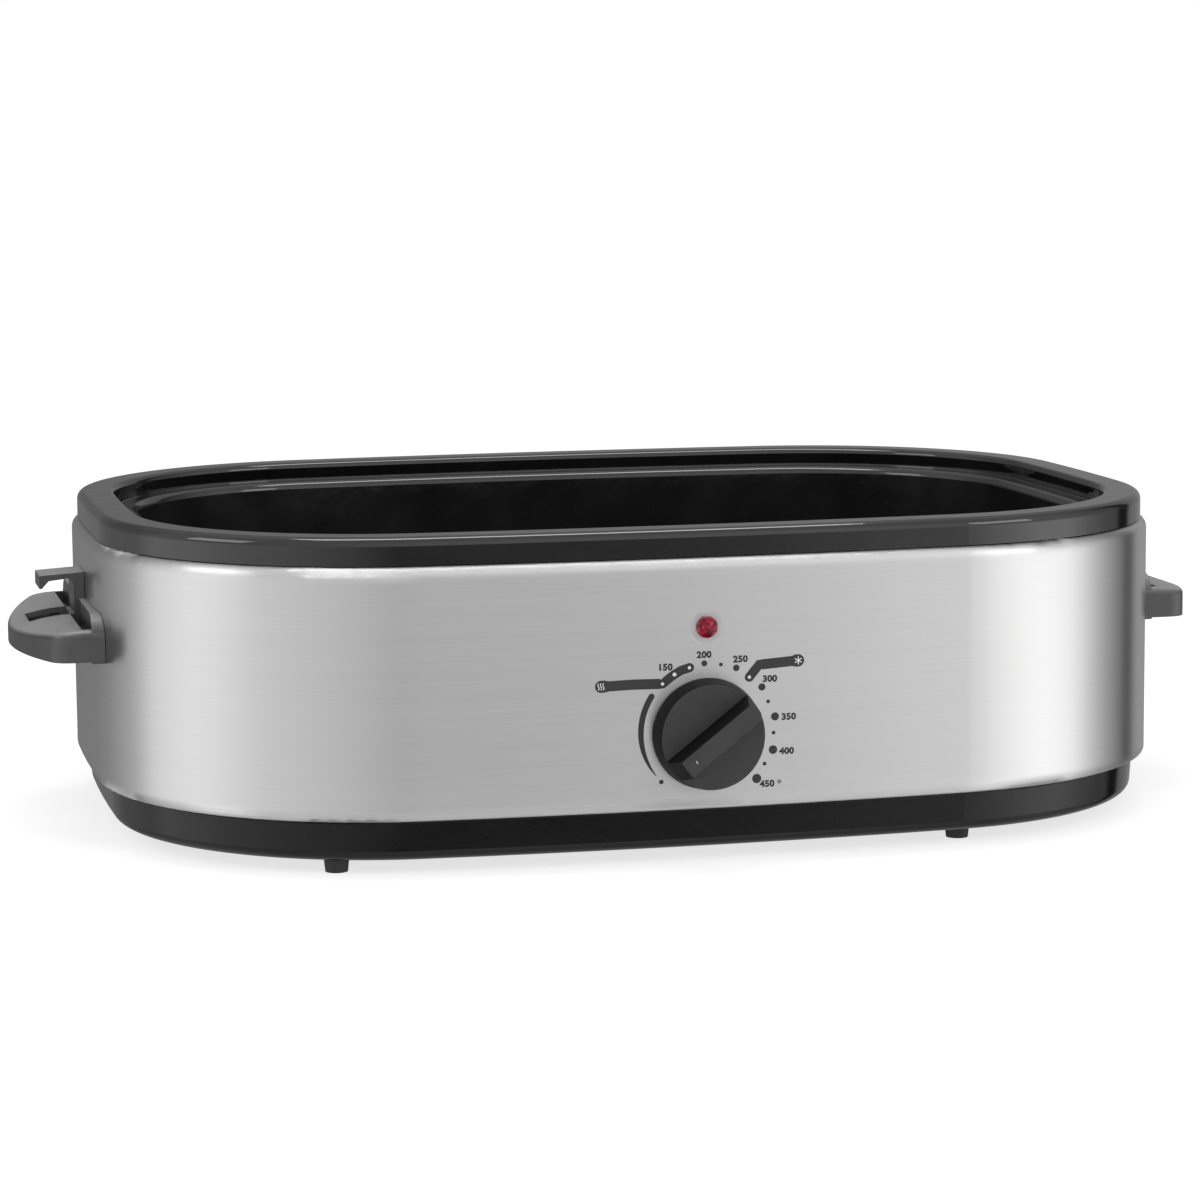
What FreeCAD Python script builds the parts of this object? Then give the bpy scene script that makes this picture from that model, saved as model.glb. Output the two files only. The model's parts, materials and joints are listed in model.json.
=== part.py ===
import FreeCAD, Part
import math
import os

# Electric roaster oven: a steel-wrapped heated well on a low base, with a lift-out pan.
# Millimetres, +Z up, the front with the control knob faces -Y.
# The origin is on the surface that the oven stands on, under the middle of the footprint.

# Plan of the body, a rounded oblong of tangent arcs
body_length = 530.0
body_depth = 392.0
side_arc_radius = 1848.0
end_arc_radius = 1899.0
corner_radius = 143.0

# Heights of the stack, from the floor up
foot_height = 6.5
base_height = 19.4
shell_height = 117.4
rim_height = 13.0
seat_gap = 0.1
cut_margin = 1.0
shell_cut_depth = 9.0

# Sheet metal
shell_sheet = 0.8
base_sheet = 0.8
well_sheet = 1.0
pan_sheet = 1.0
shield_sheet = 0.6

# Outer shell
shell_lower_flange = 12.0
shell_lower_radius = 2.0
shell_upper_flange = 14.0
shell_shoulder_radius = 5.0

# Base
base_inset = 6.0
base_wall_draft = 1.2
base_flange = 10.0
base_flange_radius = 1.5
base_edge_radius = 5.0

# Heating well
rim_inset = 3.0
rim_width = 19.0
rim_outer_radius = 4.0
rim_inner_radius = 3.0
ledge_drop = 10.4
ledge_width = 8.0
ledge_outer_radius = 1.5
ledge_inner_radius = 2.5
well_draft = 4.0
well_floor_rise = 2.5
well_floor_radius = 10.0

# Cooking pan
pan_lip_gap = 1.7
pan_lip_width = 9.8
pan_lip_radius = 4.0
pan_draft = 5.5
pan_floor_gap = 6.0
pan_floor_radius = 14.0

# Heater and its wrapping round the well
band_thickness = 1.2
band_rise = 18.0
band_height = 50.0
blanket_thickness = 6.0
blanket_rise = 9.0
blanket_height = 76.0
strap_thickness = 0.5
strap_height = 8.0
strap_margin = 5.0
terminal_spread = 80.0
terminal_radius = 2.0
terminal_reach = 15.5
terminal_hole_gap = 1.5

# Heat shield and the four studs that hold the base up to the well
shield_gap = 9.2
shield_inset = 62.0
shield_lip_height = 4.0
shield_lip_radius = 2.0
stud_spacing_x = 240.0
stud_spacing_y = 140.0
stud_radius = 2.0
stud_end_drop = 3.0
spacer_radius = 4.0
nut_radius = 3.9
nut_thickness = 2.4
hole_clearance = 0.25

# Feet
foot_left_inset = 98.0
foot_right_inset = 131.0
foot_side_inset = 31.0
foot_top_radius = 6.0
foot_bottom_radius = 5.25
foot_recess_radius = 3.4
foot_recess_depth = 4.0
foot_screw_radius = 1.5
foot_screw_head_radius = 2.9
foot_screw_head_height = 1.8
foot_nut_radius = 3.2
foot_nut_thickness = 2.4

# Control knob and its shaft
dial_x = 2.0
dial_rise = 35.5
knob_gap = 0.8
knob_back_radius = 26.0
knob_face_radius = 24.6
knob_disc_depth = 10.6
knob_wall = 2.2
knob_edge_radius = 0.8
grip_height = 13.6
grip_top_length = 40.5
grip_top_width = 9.6
grip_base_width = 10.8
grip_edge_radius = 0.9
grip_angle = 37.7
pointer_radius = 1.6
pointer_depth = 0.5
pointer_from_end = 6.8
shaft_radius = 3.0
shaft_flat = 2.2
shaft_clearance = 0.05
shaft_in_knob = 14.0
boss_radius = 6.0
boss_gap = 1.0
clip_thickness = 0.6
clip_length = 3.0
clip_slot = 2.0

# Thermostat behind the knob
thermostat_width = 36.0
thermostat_height = 32.0
thermostat_depth = 19.0
thermostat_seat_gap = 0.3
thermostat_edge_radius = 1.5
shaft_in_thermostat = 10.0
bush_radius = 5.0
bush_reach = 3.0
bush_nut_radius = 8.0
bush_nut_thickness = 2.2

# Temperature sensor under the well
bulb_radius = 3.0
bulb_length = 90.0
bulb_y = -40.0
clip_sheet = 0.7
clip_width = 8.0
clip_tab = 8.0
clip_spacing = 60.0
capillary_radius = 0.8
capillary_gap = 6.0
capillary_run = 80.0
capillary_lead_in = 18.0
capillary_drop_run = 12.0
capillary_side_step = 14.0
capillary_riser_shift = 10.0
capillary_riser_run = 12.0
capillary_riser_rise = 4.0

# Pilot lamp above the knob
lamp_rise = 85.2
lens_radius = 5.0
lens_flange = 0.9
lens_dome = 2.6
lens_barrel_radius = 3.8
lens_barrel_reach = 6.0
retainer_radius = 7.0
retainer_thickness = 0.6
lamp_holder_radius = 4.5
lamp_holder_length = 13.0
lamp_lead_spacing = 3.6

# Side handles: flange, crowned plate with a skirt, and a lid hook in the middle
handle_width = 152.0
handle_root = 4.0
handle_reach = 36.5
handle_bow = 17.15
handle_corner_radius = 10.0
handle_top_rise = 77.8
handle_skirt_height = 15.3
handle_crown_radius = 87.0
handle_crown_offset = 4.2
handle_edge_radius = 3.2
handle_wall = 2.6
handle_flange_thickness = 3.0
handle_flange_rise = 61.7
handle_flange_height = 23.2
handle_flange_radius = 12.0
pocket_width = 4.5
pocket_depth = 6.3
pocket_end_wall = 5.0
hook_width = 25.0
hook_rise = 20.2
hook_post_thickness = 5.4
hook_reach = 22.0
hook_arm_thickness = 2.7
hook_arm_slope = 1.3
hook_lip_drop = 6.4
hook_lip_tip = 1.2
hook_lip_taper = 4.6
hook_root_radius = 3.0
hook_edge_radius = 0.8
notch_width = 28.0
notch_length = 20.0

# Handle fastening, from inside the shell
handle_hole_spacing = 90.0
handle_screw_rise = 67.1
handle_screw_radius = 2.0
handle_screw_depth = 8.0
handle_screw_head_radius = 3.8
handle_screw_head_height = 2.2
backing_length = 112.0
backing_height = 14.0
backing_sheet = 1.5

# Power inlet in the middle of the back
inlet_rise = 35.5
inlet_flange_width = 52.0
inlet_flange_height = 28.0
inlet_flange_thickness = 3.0
inlet_corner_radius = 4.0
shroud_width = 34.0
shroud_height = 21.0
shroud_wall = 2.7
shroud_reach = 20.0
shroud_floor_reach = 4.0
inlet_neck_width = 29.4
inlet_neck_height = 16.4
inlet_neck_depth = 9.0
neck_corner_radius = 1.0
pin_spacing = 19.0
pin_radius = 2.35
pin_tip_radius = 1.2
pin_end_inside = 11.0
pin_end_reach = 17.0
inlet_screw_spacing = 43.0
inlet_screw_radius = 1.5
inlet_screw_head_radius = 2.9
inlet_screw_head_height = 1.7
inlet_nut_radius = 3.2
inlet_nut_thickness = 2.4
inlet_screw_spare = 3.0

# Sleeved wires inside the base
lead_radius = 1.2
lead_inset = 19.0
lead_floor_gap = 0.1
lead_bend_share = 0.45
lead_run_inset = 30.0
lead_corner_points = 4
lead_riser_offset = 11.0
fuse_radius = 2.5
fuse_rise = 5.5
fuse_length = 16.0
fuse_link_gap = 0.3
neutral_arch = 14.0

# Derived sizes
half_length = body_length / 2
half_depth = body_depth / 2
edge_height = foot_height + base_height + seat_gap
shell_top = edge_height + shell_height
rim_top = shell_top + rim_height + seat_gap
dial_height = edge_height + dial_rise
lamp_height = edge_height + lamp_rise
inlet_height = edge_height + inlet_rise
handle_top_height = edge_height + handle_top_rise
handle_flange_low = edge_height + handle_flange_rise
handle_screw_height = edge_height + handle_screw_rise
pocket_floor_height = handle_top_height - pocket_depth
well_floor_height = edge_height + well_floor_rise
ledge_inset = rim_inset + rim_width
ledge_height = rim_top - ledge_drop
well_top_inset = ledge_inset + ledge_width
well_floor_inset = well_top_inset + well_draft
pan_lip_inset = ledge_inset + pan_lip_gap
pan_lip_height = ledge_height + seat_gap + pan_sheet
pan_top_inset = pan_lip_inset + pan_lip_width
pan_floor_inset = pan_top_inset + pan_draft
pan_floor_height = well_floor_height + pan_floor_gap + pan_sheet
band_low = well_floor_height + band_rise
band_high = band_low + band_height
blanket_low = well_floor_height + blanket_rise
blanket_high = blanket_low + blanket_height
base_floor_top = foot_height + base_sheet
shield_height = base_floor_top + shield_gap
capillary_height = shield_height + capillary_gap
stud_end_height = foot_height - stud_end_drop
handle_arc_radius = (handle_width / 2) ** 2 / (2 * handle_bow) + handle_bow / 2
fuse_low = edge_height + fuse_rise
base_floor_inset = base_inset + base_wall_draft
well_underside = well_floor_height - well_sheet
front_y = -half_depth
knob_back_y = front_y - knob_gap
knob_face_y = knob_back_y - knob_disc_depth
grip_top_y = knob_face_y - grip_height
thermostat_front_y = front_y + shell_sheet + thermostat_seat_gap
lead_floor_z = base_floor_top + lead_floor_gap + lead_radius


def corner_centre():
    """Centre of the corner arc in the quarter with positive x and y."""
    end_x = half_length - end_arc_radius
    side_y = half_depth - side_arc_radius
    to_end = end_arc_radius - corner_radius
    to_side = side_arc_radius - corner_radius
    apart = math.hypot(end_x, side_y)
    along = (to_end**2 - to_side**2 + apart**2) / (2 * apart)
    across = math.sqrt(to_end**2 - along**2)
    step_x = -end_x / apart
    step_y = side_y / apart
    x = end_x + along * step_x - across * step_y
    y = along * step_y + across * step_x
    return x, y


def outline_arcs():
    """The eight tangent arcs of the plan: centre, radius, start and end angle in radians."""
    cx, cy = corner_centre()
    end_x = half_length - end_arc_radius
    side_y = half_depth - side_arc_radius
    low = math.atan2(cy, cx - end_x)
    high = math.atan2(cy - side_y, cx)
    half_turn = math.pi
    return [
        (end_x, 0.0, end_arc_radius, -low, low),
        (cx, cy, corner_radius, low, high),
        (0.0, side_y, side_arc_radius, high, half_turn - high),
        (-cx, cy, corner_radius, half_turn - high, half_turn - low),
        (-end_x, 0.0, end_arc_radius, half_turn - low, half_turn + low),
        (-cx, -cy, corner_radius, half_turn + low, half_turn + high),
        (0.0, -side_y, side_arc_radius, half_turn + high, 2 * half_turn - high),
        (cx, -cy, corner_radius, 2 * half_turn - high, 2 * half_turn - low),
    ]


def outline_wire(inset, height):
    """The plan drawn inwards by inset, at one height."""
    edges = []
    for x, y, radius, start, end in outline_arcs():
        reach = radius - inset
        points = []
        for angle in (start, (start + end) / 2, end):
            points.append(
                FreeCAD.Vector(x + reach * math.cos(angle), y + reach * math.sin(angle), height)
            )
        edges.append(Part.Arc(*points).toShape())
    return Part.Wire(edges)


def outline_prism(inset, low, high):
    """A solid block with the plan's shape."""
    return Part.Face(outline_wire(inset, low)).extrude(FreeCAD.Vector(0, 0, high - low))


def unit(dx, dz):
    """Direction of length one."""
    length = math.hypot(dx, dz)
    return dx / length, dz / length


def offset_corners(corners, distance):
    """The same path moved to its right-hand side, with radii that stay concentric."""
    count = len(corners)
    headings = []
    for first, second in zip(corners, corners[1:]):
        headings.append(unit(second[0] - first[0], second[1] - first[1]))
    moved = []
    for index in range(count):
        before = headings[max(index - 1, 0)]
        after = headings[min(index, count - 2)]
        turn = before[0] * after[1] - before[1] * after[0]
        dot = before[0] * after[0] + before[1] * after[1]
        stretch = distance / (1 + dot)
        inset = corners[index][0] + stretch * (before[1] + after[1])
        height = corners[index][1] - stretch * (before[0] + after[0])
        radius = corners[index][2]
        if radius > 0:
            radius += math.copysign(distance, turn)
        moved.append((inset, height, radius))
    return moved


def rounded_pieces(corners):
    """Lines and arcs, as lists of 2 or 3 points, along a path with rounded corners."""
    pieces = []
    here = corners[0][:2]
    for before, corner, after in zip(corners, corners[1:], corners[2:]):
        back = unit(before[0] - corner[0], before[1] - corner[1])
        ahead = unit(after[0] - corner[0], after[1] - corner[1])
        radius = corner[2]
        if radius == 0:
            pieces.append([here, corner[:2]])
            here = corner[:2]
            continue
        half = math.acos(back[0] * ahead[0] + back[1] * ahead[1]) / 2
        tangent = radius / math.tan(half)
        start = (corner[0] + tangent * back[0], corner[1] + tangent * back[1])
        end = (corner[0] + tangent * ahead[0], corner[1] + tangent * ahead[1])
        inward = unit(back[0] + ahead[0], back[1] + ahead[1])
        depth = radius / math.sin(half) - radius
        middle = (corner[0] + depth * inward[0], corner[1] + depth * inward[1])
        pieces.append([here, start])
        pieces.append([start, middle, end])
        here = end
    pieces.append([here, corners[-1][:2]])
    return pieces


def swept_faces(pieces):
    """Faces that carry each piece of a section right round the plan."""
    faces = []
    for x, y, radius, start, end in outline_arcs():
        centre = FreeCAD.Vector(x, y, 0)
        for piece in pieces:
            points = []
            for inset, height in piece:
                reach = radius - inset
                points.append(
                    FreeCAD.Vector(x + reach * math.cos(start), y + reach * math.sin(start), height)
                )
            if len(points) == 2:
                edge = Part.makeLine(*points)
            else:
                edge = Part.Arc(*points).toShape()
            faces.append(edge.revolve(centre, FreeCAD.Vector(0, 0, 1), math.degrees(end - start)))
    return faces


def closed_solid(faces):
    """Sew faces that meet edge to edge into one solid."""
    sewn = Part.makeCompound(faces)
    sewn.sewShape()
    solid = Part.makeSolid(sewn.Shells[0])
    if solid.Volume < 0:
        solid.reverse()
    return solid


def ring(corners):
    """A ring round the plan with a straight-sided closed section of (inset, height) corners."""
    pieces = []
    for first, second in zip(corners, corners[1:] + corners[:1]):
        pieces.append([first, second])
    return closed_solid(swept_faces(pieces))


def pressed_sheet(corners, thickness, floor_at=None):
    """Sheet metal on the right-hand side of a section path, with a floor at one end if asked."""
    other = offset_corners(corners, thickness)
    pieces = rounded_pieces(corners) + rounded_pieces(other)
    ends = {"start": 0, "end": -1}
    faces = []
    for name, index in ends.items():
        if name == floor_at:
            for corner in (corners[index], other[index]):
                faces.append(Part.Face(outline_wire(corner[0], corner[1])))
        else:
            pieces.append([corners[index][:2], other[index][:2]])
    return closed_solid(swept_faces(pieces) + faces)


def rod(x, y, z, radius, length, direction):
    """A cylinder from a point along a direction."""
    return Part.makeCylinder(
        radius, length, FreeCAD.Vector(x, y, z), FreeCAD.Vector(*direction)
    )


def block(low, high):
    """A box between two opposite corners."""
    sizes = [b - a for a, b in zip(low, high)]
    return Part.makeBox(*sizes, FreeCAD.Vector(*low))


def hex_nut(x, y, z, radius, thickness, bore, direction):
    """A six-sided nut whose corners lie at the given radius."""
    spin = FreeCAD.Rotation(FreeCAD.Vector(0, 0, 1), FreeCAD.Vector(*direction))
    points = []
    for corner in range(7):
        angle = corner * math.pi / 3
        points.append(FreeCAD.Vector(radius * math.cos(angle), radius * math.sin(angle), 0))
    nut = Part.Face(Part.makePolygon(points)).extrude(FreeCAD.Vector(0, 0, thickness))
    nut = nut.cut(rod(0, 0, 0, bore, thickness, (0, 0, 1)))
    nut.Placement = FreeCAD.Placement(FreeCAD.Vector(x, y, z), spin)
    return nut


def tube(points, radius):
    """A bent rod along straight runs that are joined by tangent arcs."""
    vectors = [FreeCAD.Vector(*point) for point in points]
    edges = []
    here = vectors[0]
    for before, corner, after in zip(vectors, vectors[1:], vectors[2:]):
        back = before - corner
        ahead = after - corner
        shorter = min(back.Length, ahead.Length)
        back.normalize()
        ahead.normalize()
        tangent = lead_bend_share * shorter
        start = corner + back * tangent
        end = corner + ahead * tangent
        inward = back + ahead
        inward.normalize()
        half = back.getAngle(ahead) / 2
        depth = tangent / math.cos(half) - tangent * math.tan(half)
        edges.append(Part.makeLine(here, start))
        edges.append(Part.Arc(start, corner + inward * depth, end).toShape())
        here = end
    edges.append(Part.makeLine(here, vectors[-1]))
    path = Part.Wire(edges)
    ring_wire = Part.Wire([Part.makeCircle(radius, vectors[0], vectors[1] - vectors[0])])
    return path.makePipeShell([ring_wire], True, False)


def group(solids):
    """Separate solids that share one name."""
    return Part.makeCompound(solids)


def tapered_block(front, back, depth):
    """A block along Y whose ends are rectangles of (width, height), front end at y = 0."""
    wires = []
    for size, y in ((front, 0.0), (back, depth)):
        width = size[0] / 2
        height = size[1] / 2
        corners = [(-width, -height), (width, -height), (width, height), (-width, height)]
        points = [FreeCAD.Vector(x, y, z) for x, z in corners + corners[:1]]
        wires.append(Part.makePolygon(points))
    return Part.makeLoft(wires, True, True)


def rounded_plate(width, height, radius, y, depth):
    """A plate facing Y with rounded corners, centred on x = 0 and z = 0."""
    plate = block((-width / 2, y, -height / 2), (width / 2, y + depth, height / 2))
    edges = []
    for edge in plate.Edges:
        if abs(edge.tangentAt(edge.FirstParameter).y) > 0.99:
            edges.append(edge)
    return plate.makeFillet(radius, edges)


def side_y(x, inset):
    """Distance of the long side from the middle plane at x, drawn in by inset."""
    reach = side_arc_radius - inset
    return half_depth - side_arc_radius + math.sqrt(reach**2 - x**2)


def end_x(y, inset):
    """Distance of the short end from the middle plane at y, drawn in by inset."""
    reach = end_arc_radius - inset
    return half_length - end_arc_radius + math.sqrt(reach**2 - y**2)


def well_outer_inset(height):
    """Inset of the well's outer wall face at a height."""
    share = (ledge_height - height) / (ledge_height - well_floor_height)
    slant = math.hypot(well_draft, ledge_height - well_floor_height)
    straight = ledge_height - well_floor_height
    return well_top_inset + well_draft * share - well_sheet * slant / straight


def wrapped_ring(low, high, inner_gap, thickness):
    """A belt that follows the well's drafted wall at a distance from it."""
    corners = []
    for height in (low, high):
        corners.append((well_outer_inset(height) - inner_gap, height))
    for height in (high, low):
        corners.append((well_outer_inset(height) - inner_gap - thickness, height))
    return ring(corners)


def foot_places():
    """Plan positions of the feet by name."""
    places = {}
    sides = (("left", -1, foot_left_inset), ("right", 1, foot_right_inset))
    for side_name, side, inset in sides:
        for end_name, end in (("front", -1), ("rear", 1)):
            name = "foot_" + end_name + "_" + side_name
            places[name] = (side * (half_length - inset), end * (half_depth - foot_side_inset))
    return places


def stud_places():
    """Plan positions of the tie studs."""
    places = []
    for side in (-1, 1):
        for end in (-1, 1):
            places.append((side * stud_spacing_x / 2, end * stud_spacing_y / 2))
    return places


def handle_screw_places():
    """Signed end and y of each handle screw."""
    places = []
    for end in (-1, 1):
        for side in (-1, 1):
            places.append((end, side * handle_hole_spacing / 2))
    return places


def outer_shell():
    """Brushed steel wrap with a flange turned in below and a rounded shoulder above."""
    path = [
        (shell_lower_flange, edge_height, 0),
        (0.0, edge_height, shell_lower_radius),
        (0.0, shell_top, shell_shoulder_radius),
        (shell_upper_flange, shell_top, 0),
    ]
    shell = pressed_sheet(path, shell_sheet)
    cutters = []
    front = front_y - cut_margin
    for height, radius in ((dial_height, bush_radius), (lamp_height, lens_barrel_radius)):
        wide = radius + hole_clearance
        cutters.append(rod(dial_x, front, height, wide, shell_cut_depth, (0, 1, 0)))
    back = half_depth + cut_margin
    neck_x = inlet_neck_width / 2 + hole_clearance
    neck_z = inlet_neck_height / 2 + hole_clearance
    neck = block(
        (-neck_x, back - shell_cut_depth, inlet_height - neck_z),
        (neck_x, back, inlet_height + neck_z),
    )
    cutters.append(neck)
    for side in (-1, 1):
        x = side * inlet_screw_spacing / 2
        radius = inlet_screw_radius + hole_clearance
        cutters.append(rod(x, back, inlet_height, radius, shell_cut_depth, (0, -1, 0)))
    for end, y in handle_screw_places():
        radius = handle_screw_radius + hole_clearance
        x = end * (half_length + cut_margin)
        cutters.append(rod(x, y, handle_screw_height, radius, shell_cut_depth, (-end, 0, 0)))
    return shell.cut(cutters)


def base_pan():
    """Black pressed base with a flange that carries the shell."""
    path = [
        (base_floor_inset + 2 * base_edge_radius, foot_height, 0),
        (base_floor_inset, foot_height, base_edge_radius),
        (base_inset, foot_height + base_height, base_flange_radius),
        (base_inset + base_flange, foot_height + base_height, 0),
    ]
    base = pressed_sheet(path, base_sheet, "start")
    cutters = []
    cut_low = foot_height - cut_margin
    cut_depth = base_sheet + 2 * cut_margin
    for x, y in foot_places().values():
        radius = foot_screw_radius + hole_clearance
        cutters.append(rod(x, y, cut_low, radius, cut_depth, (0, 0, 1)))
    for x, y in stud_places():
        radius = stud_radius + hole_clearance
        cutters.append(rod(x, y, cut_low, radius, cut_depth, (0, 0, 1)))
    return base.cut(cutters)


def heating_well():
    """Enamelled well: raised rim, ledge for the pan's lip, drafted wall and floor."""
    path = [
        (rim_inset, shell_top + seat_gap, 0),
        (rim_inset, rim_top, rim_outer_radius),
        (ledge_inset, rim_top, rim_inner_radius),
        (ledge_inset, ledge_height, ledge_outer_radius),
        (well_top_inset, ledge_height, ledge_inner_radius),
        (well_floor_inset, well_floor_height, well_floor_radius),
        (well_floor_inset + 2 * well_floor_radius, well_floor_height, 0),
    ]
    return pressed_sheet(path, well_sheet, "end")


def cooking_pan():
    """Lift-out pan that hangs by its lip on the well's ledge."""
    path = [
        (pan_lip_inset, pan_lip_height, 0),
        (pan_top_inset, pan_lip_height, pan_lip_radius),
        (pan_floor_inset, pan_floor_height, pan_floor_radius),
        (pan_floor_inset + 2 * pan_floor_radius, pan_floor_height, 0),
    ]
    return pressed_sheet(path, pan_sheet, "end")


def heat_shield():
    """Bright tray between the well and the base."""
    path = [
        (shield_inset + 3 * shield_lip_radius, shield_height, 0),
        (shield_inset, shield_height, shield_lip_radius),
        (shield_inset, shield_height + shield_lip_height, 0),
    ]
    tray = pressed_sheet(path, shield_sheet, "start")
    cutters = []
    for x, y in stud_places():
        radius = stud_radius + hole_clearance
        low = shield_height - cut_margin
        cutters.append(rod(x, y, low, radius, shield_sheet + 2 * cut_margin, (0, 0, 1)))
    return tray.cut(cutters)


def heater_band():
    """Ribbon heater wound on its carrier, clamped to the well's wall."""
    return wrapped_ring(band_low, band_high, seat_gap, band_thickness)


def terminal_places():
    """x of the two heater terminals at the back."""
    return [-terminal_spread / 2, terminal_spread / 2]


def heater_terminals():
    """Studs that stand out of the heater band through the wrapping."""
    studs = []
    for x in terminal_places():
        start = side_y(x, well_outer_inset(inlet_height) - seat_gap - band_thickness)
        start += seat_gap
        end = side_y(x, terminal_reach)
        studs.append(rod(x, start, inlet_height, terminal_radius, end - start, (0, 1, 0)))
    return group(studs)


def insulation_blanket():
    """Glass fibre wrapping round the heater."""
    gap = 2 * seat_gap + band_thickness
    blanket = wrapped_ring(blanket_low, blanket_high, gap, blanket_thickness)
    cutters = []
    for x in terminal_places():
        radius = terminal_radius + terminal_hole_gap
        deep = half_depth - well_floor_inset
        cutters.append(rod(x, deep, inlet_height, radius, well_floor_inset, (0, 1, 0)))
    return blanket.cut(cutters)


def blanket_straps():
    """Two thin steel bands that hold the wrapping."""
    gap = 3 * seat_gap + band_thickness + blanket_thickness
    straps = []
    for low in (blanket_low + strap_margin, blanket_high - strap_margin - strap_height):
        straps.append(wrapped_ring(low, low + strap_height, gap, strap_thickness))
    return group(straps)


def foot(x, y):
    """Rubber foot with a recess for its screw."""
    body = Part.makeCone(
        foot_bottom_radius, foot_top_radius, foot_height, FreeCAD.Vector(x, y, 0)
    )
    recess = rod(x, y, 0, foot_recess_radius, foot_recess_depth, (0, 0, 1))
    hole = rod(x, y, 0, foot_screw_radius + hole_clearance, foot_height, (0, 0, 1))
    return body.cut([recess, hole])


def foot_screws():
    """One screw up through each foot."""
    screws = []
    shank_top = base_floor_top + foot_nut_thickness + cut_margin
    for x, y in foot_places().values():
        seat = foot_recess_depth
        head_low = seat - foot_screw_head_height
        head = rod(x, y, head_low, foot_screw_head_radius, foot_screw_head_height, (0, 0, 1))
        shank = rod(x, y, seat, foot_screw_radius, shank_top - seat, (0, 0, 1))
        screws.append(head.fuse(shank).removeSplitter())
    return group(screws)


def foot_nuts():
    """Nuts on the foot screws, inside the base."""
    nuts = []
    bore = foot_screw_radius + shaft_clearance
    for x, y in foot_places().values():
        nuts.append(
            hex_nut(x, y, base_floor_top, foot_nut_radius, foot_nut_thickness, bore, (0, 0, 1))
        )
    return group(nuts)


def tie_studs():
    """Studs welded under the well that hold the base, the shield and the shell together."""
    studs = []
    for x, y in stud_places():
        length = well_underside - stud_end_height
        studs.append(rod(x, y, stud_end_height, stud_radius, length, (0, 0, 1)))
    return group(studs)


def spacers(low, high):
    """Sleeves round the studs between two heights."""
    sleeves = []
    for x, y in stud_places():
        sleeve = rod(x, y, low, spacer_radius, high - low, (0, 0, 1))
        bore = rod(x, y, low, stud_radius + hole_clearance, high - low, (0, 0, 1))
        sleeves.append(sleeve.cut(bore))
    return group(sleeves)


def tie_nuts():
    """Nuts under the base on the studs."""
    nuts = []
    for x, y in stud_places():
        low = foot_height - nut_thickness
        bore = stud_radius + shaft_clearance
        nuts.append(hex_nut(x, y, low, nut_radius, nut_thickness, bore, (0, 0, 1)))
    return group(nuts)


def sensor_bulb():
    """Liquid-filled bulb against the well's floor."""
    z = well_underside - bulb_radius - seat_gap
    return rod(-bulb_length / 2, bulb_y, z, bulb_radius, bulb_length, (1, 0, 0))


def bulb_clips():
    """Saddles that hold the bulb to the well's floor."""
    clips = []
    z = well_underside - bulb_radius - seat_gap
    inner = bulb_radius + seat_gap
    outer = inner + clip_sheet
    tab_low = well_underside - clip_sheet
    for side in (-1, 1):
        x = side * clip_spacing / 2 - clip_width / 2
        far = x + clip_width
        bend = rod(x, bulb_y, z, outer, clip_width, (1, 0, 0))
        walls = block((x, bulb_y - outer, z), (far, bulb_y + outer, well_underside))
        tabs = block(
            (x, bulb_y - outer - clip_tab, tab_low), (far, bulb_y + outer + clip_tab, well_underside)
        )
        room = rod(x, bulb_y, z, inner, clip_width, (1, 0, 0))
        above = block((x, bulb_y - inner, z), (far, bulb_y + inner, well_underside + outer))
        cap = block(
            (x, bulb_y - outer, well_underside), (far, bulb_y + outer, well_underside + outer)
        )
        clips.append(bend.fuse([walls, tabs]).cut([room, above, cap]).removeSplitter())
    return group(clips)


def capillary_tube():
    """Fine tube from the bulb to the thermostat."""
    z = well_underside - bulb_radius - seat_gap
    start = bulb_length / 2
    bend = start + capillary_lead_in
    aside = bend + capillary_drop_run
    aside_y = bulb_y - capillary_side_step
    riser_y = -side_y(dial_x, lead_inset)
    points = [
        (start, bulb_y, z),
        (bend, bulb_y, z),
        (aside, aside_y, capillary_height),
        (aside, bulb_y - capillary_run, capillary_height),
        (dial_x + capillary_riser_shift, riser_y + capillary_riser_run, capillary_height),
        (dial_x, riser_y, capillary_height + capillary_riser_rise),
        (dial_x, riser_y, dial_height - thermostat_height / 2),
    ]
    return tube(points, capillary_radius)


def thermostat_body():
    """Switch block behind the shell with a threaded bush for the shaft."""
    body = rounded_plate(
        thermostat_width, thermostat_height, thermostat_edge_radius, 0, thermostat_depth
    )
    body.translate(FreeCAD.Vector(dial_x, thermostat_front_y, dial_height))
    bush_end = front_y - bush_reach
    bush_length = thermostat_front_y - bush_end
    bush = rod(dial_x, bush_end, dial_height, bush_radius, bush_length, (0, 1, 0))
    bore_length = bush_length + shaft_in_thermostat + seat_gap
    bore = rod(
        dial_x, bush_end, dial_height, shaft_radius + shaft_clearance, bore_length, (0, 1, 0)
    )
    return body.fuse(bush).cut(bore).removeSplitter()


def thermostat_nut():
    """Nut outside the shell, hidden by the knob."""
    y = front_y - thermostat_seat_gap
    bore = bush_radius + shaft_clearance
    return hex_nut(
        dial_x, y, dial_height, bush_nut_radius, bush_nut_thickness, bore, (0, -1, 0)
    )


def shaft_end_y():
    """y of the shaft's front end inside the grip."""
    return knob_face_y + knob_wall - shaft_in_knob


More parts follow.
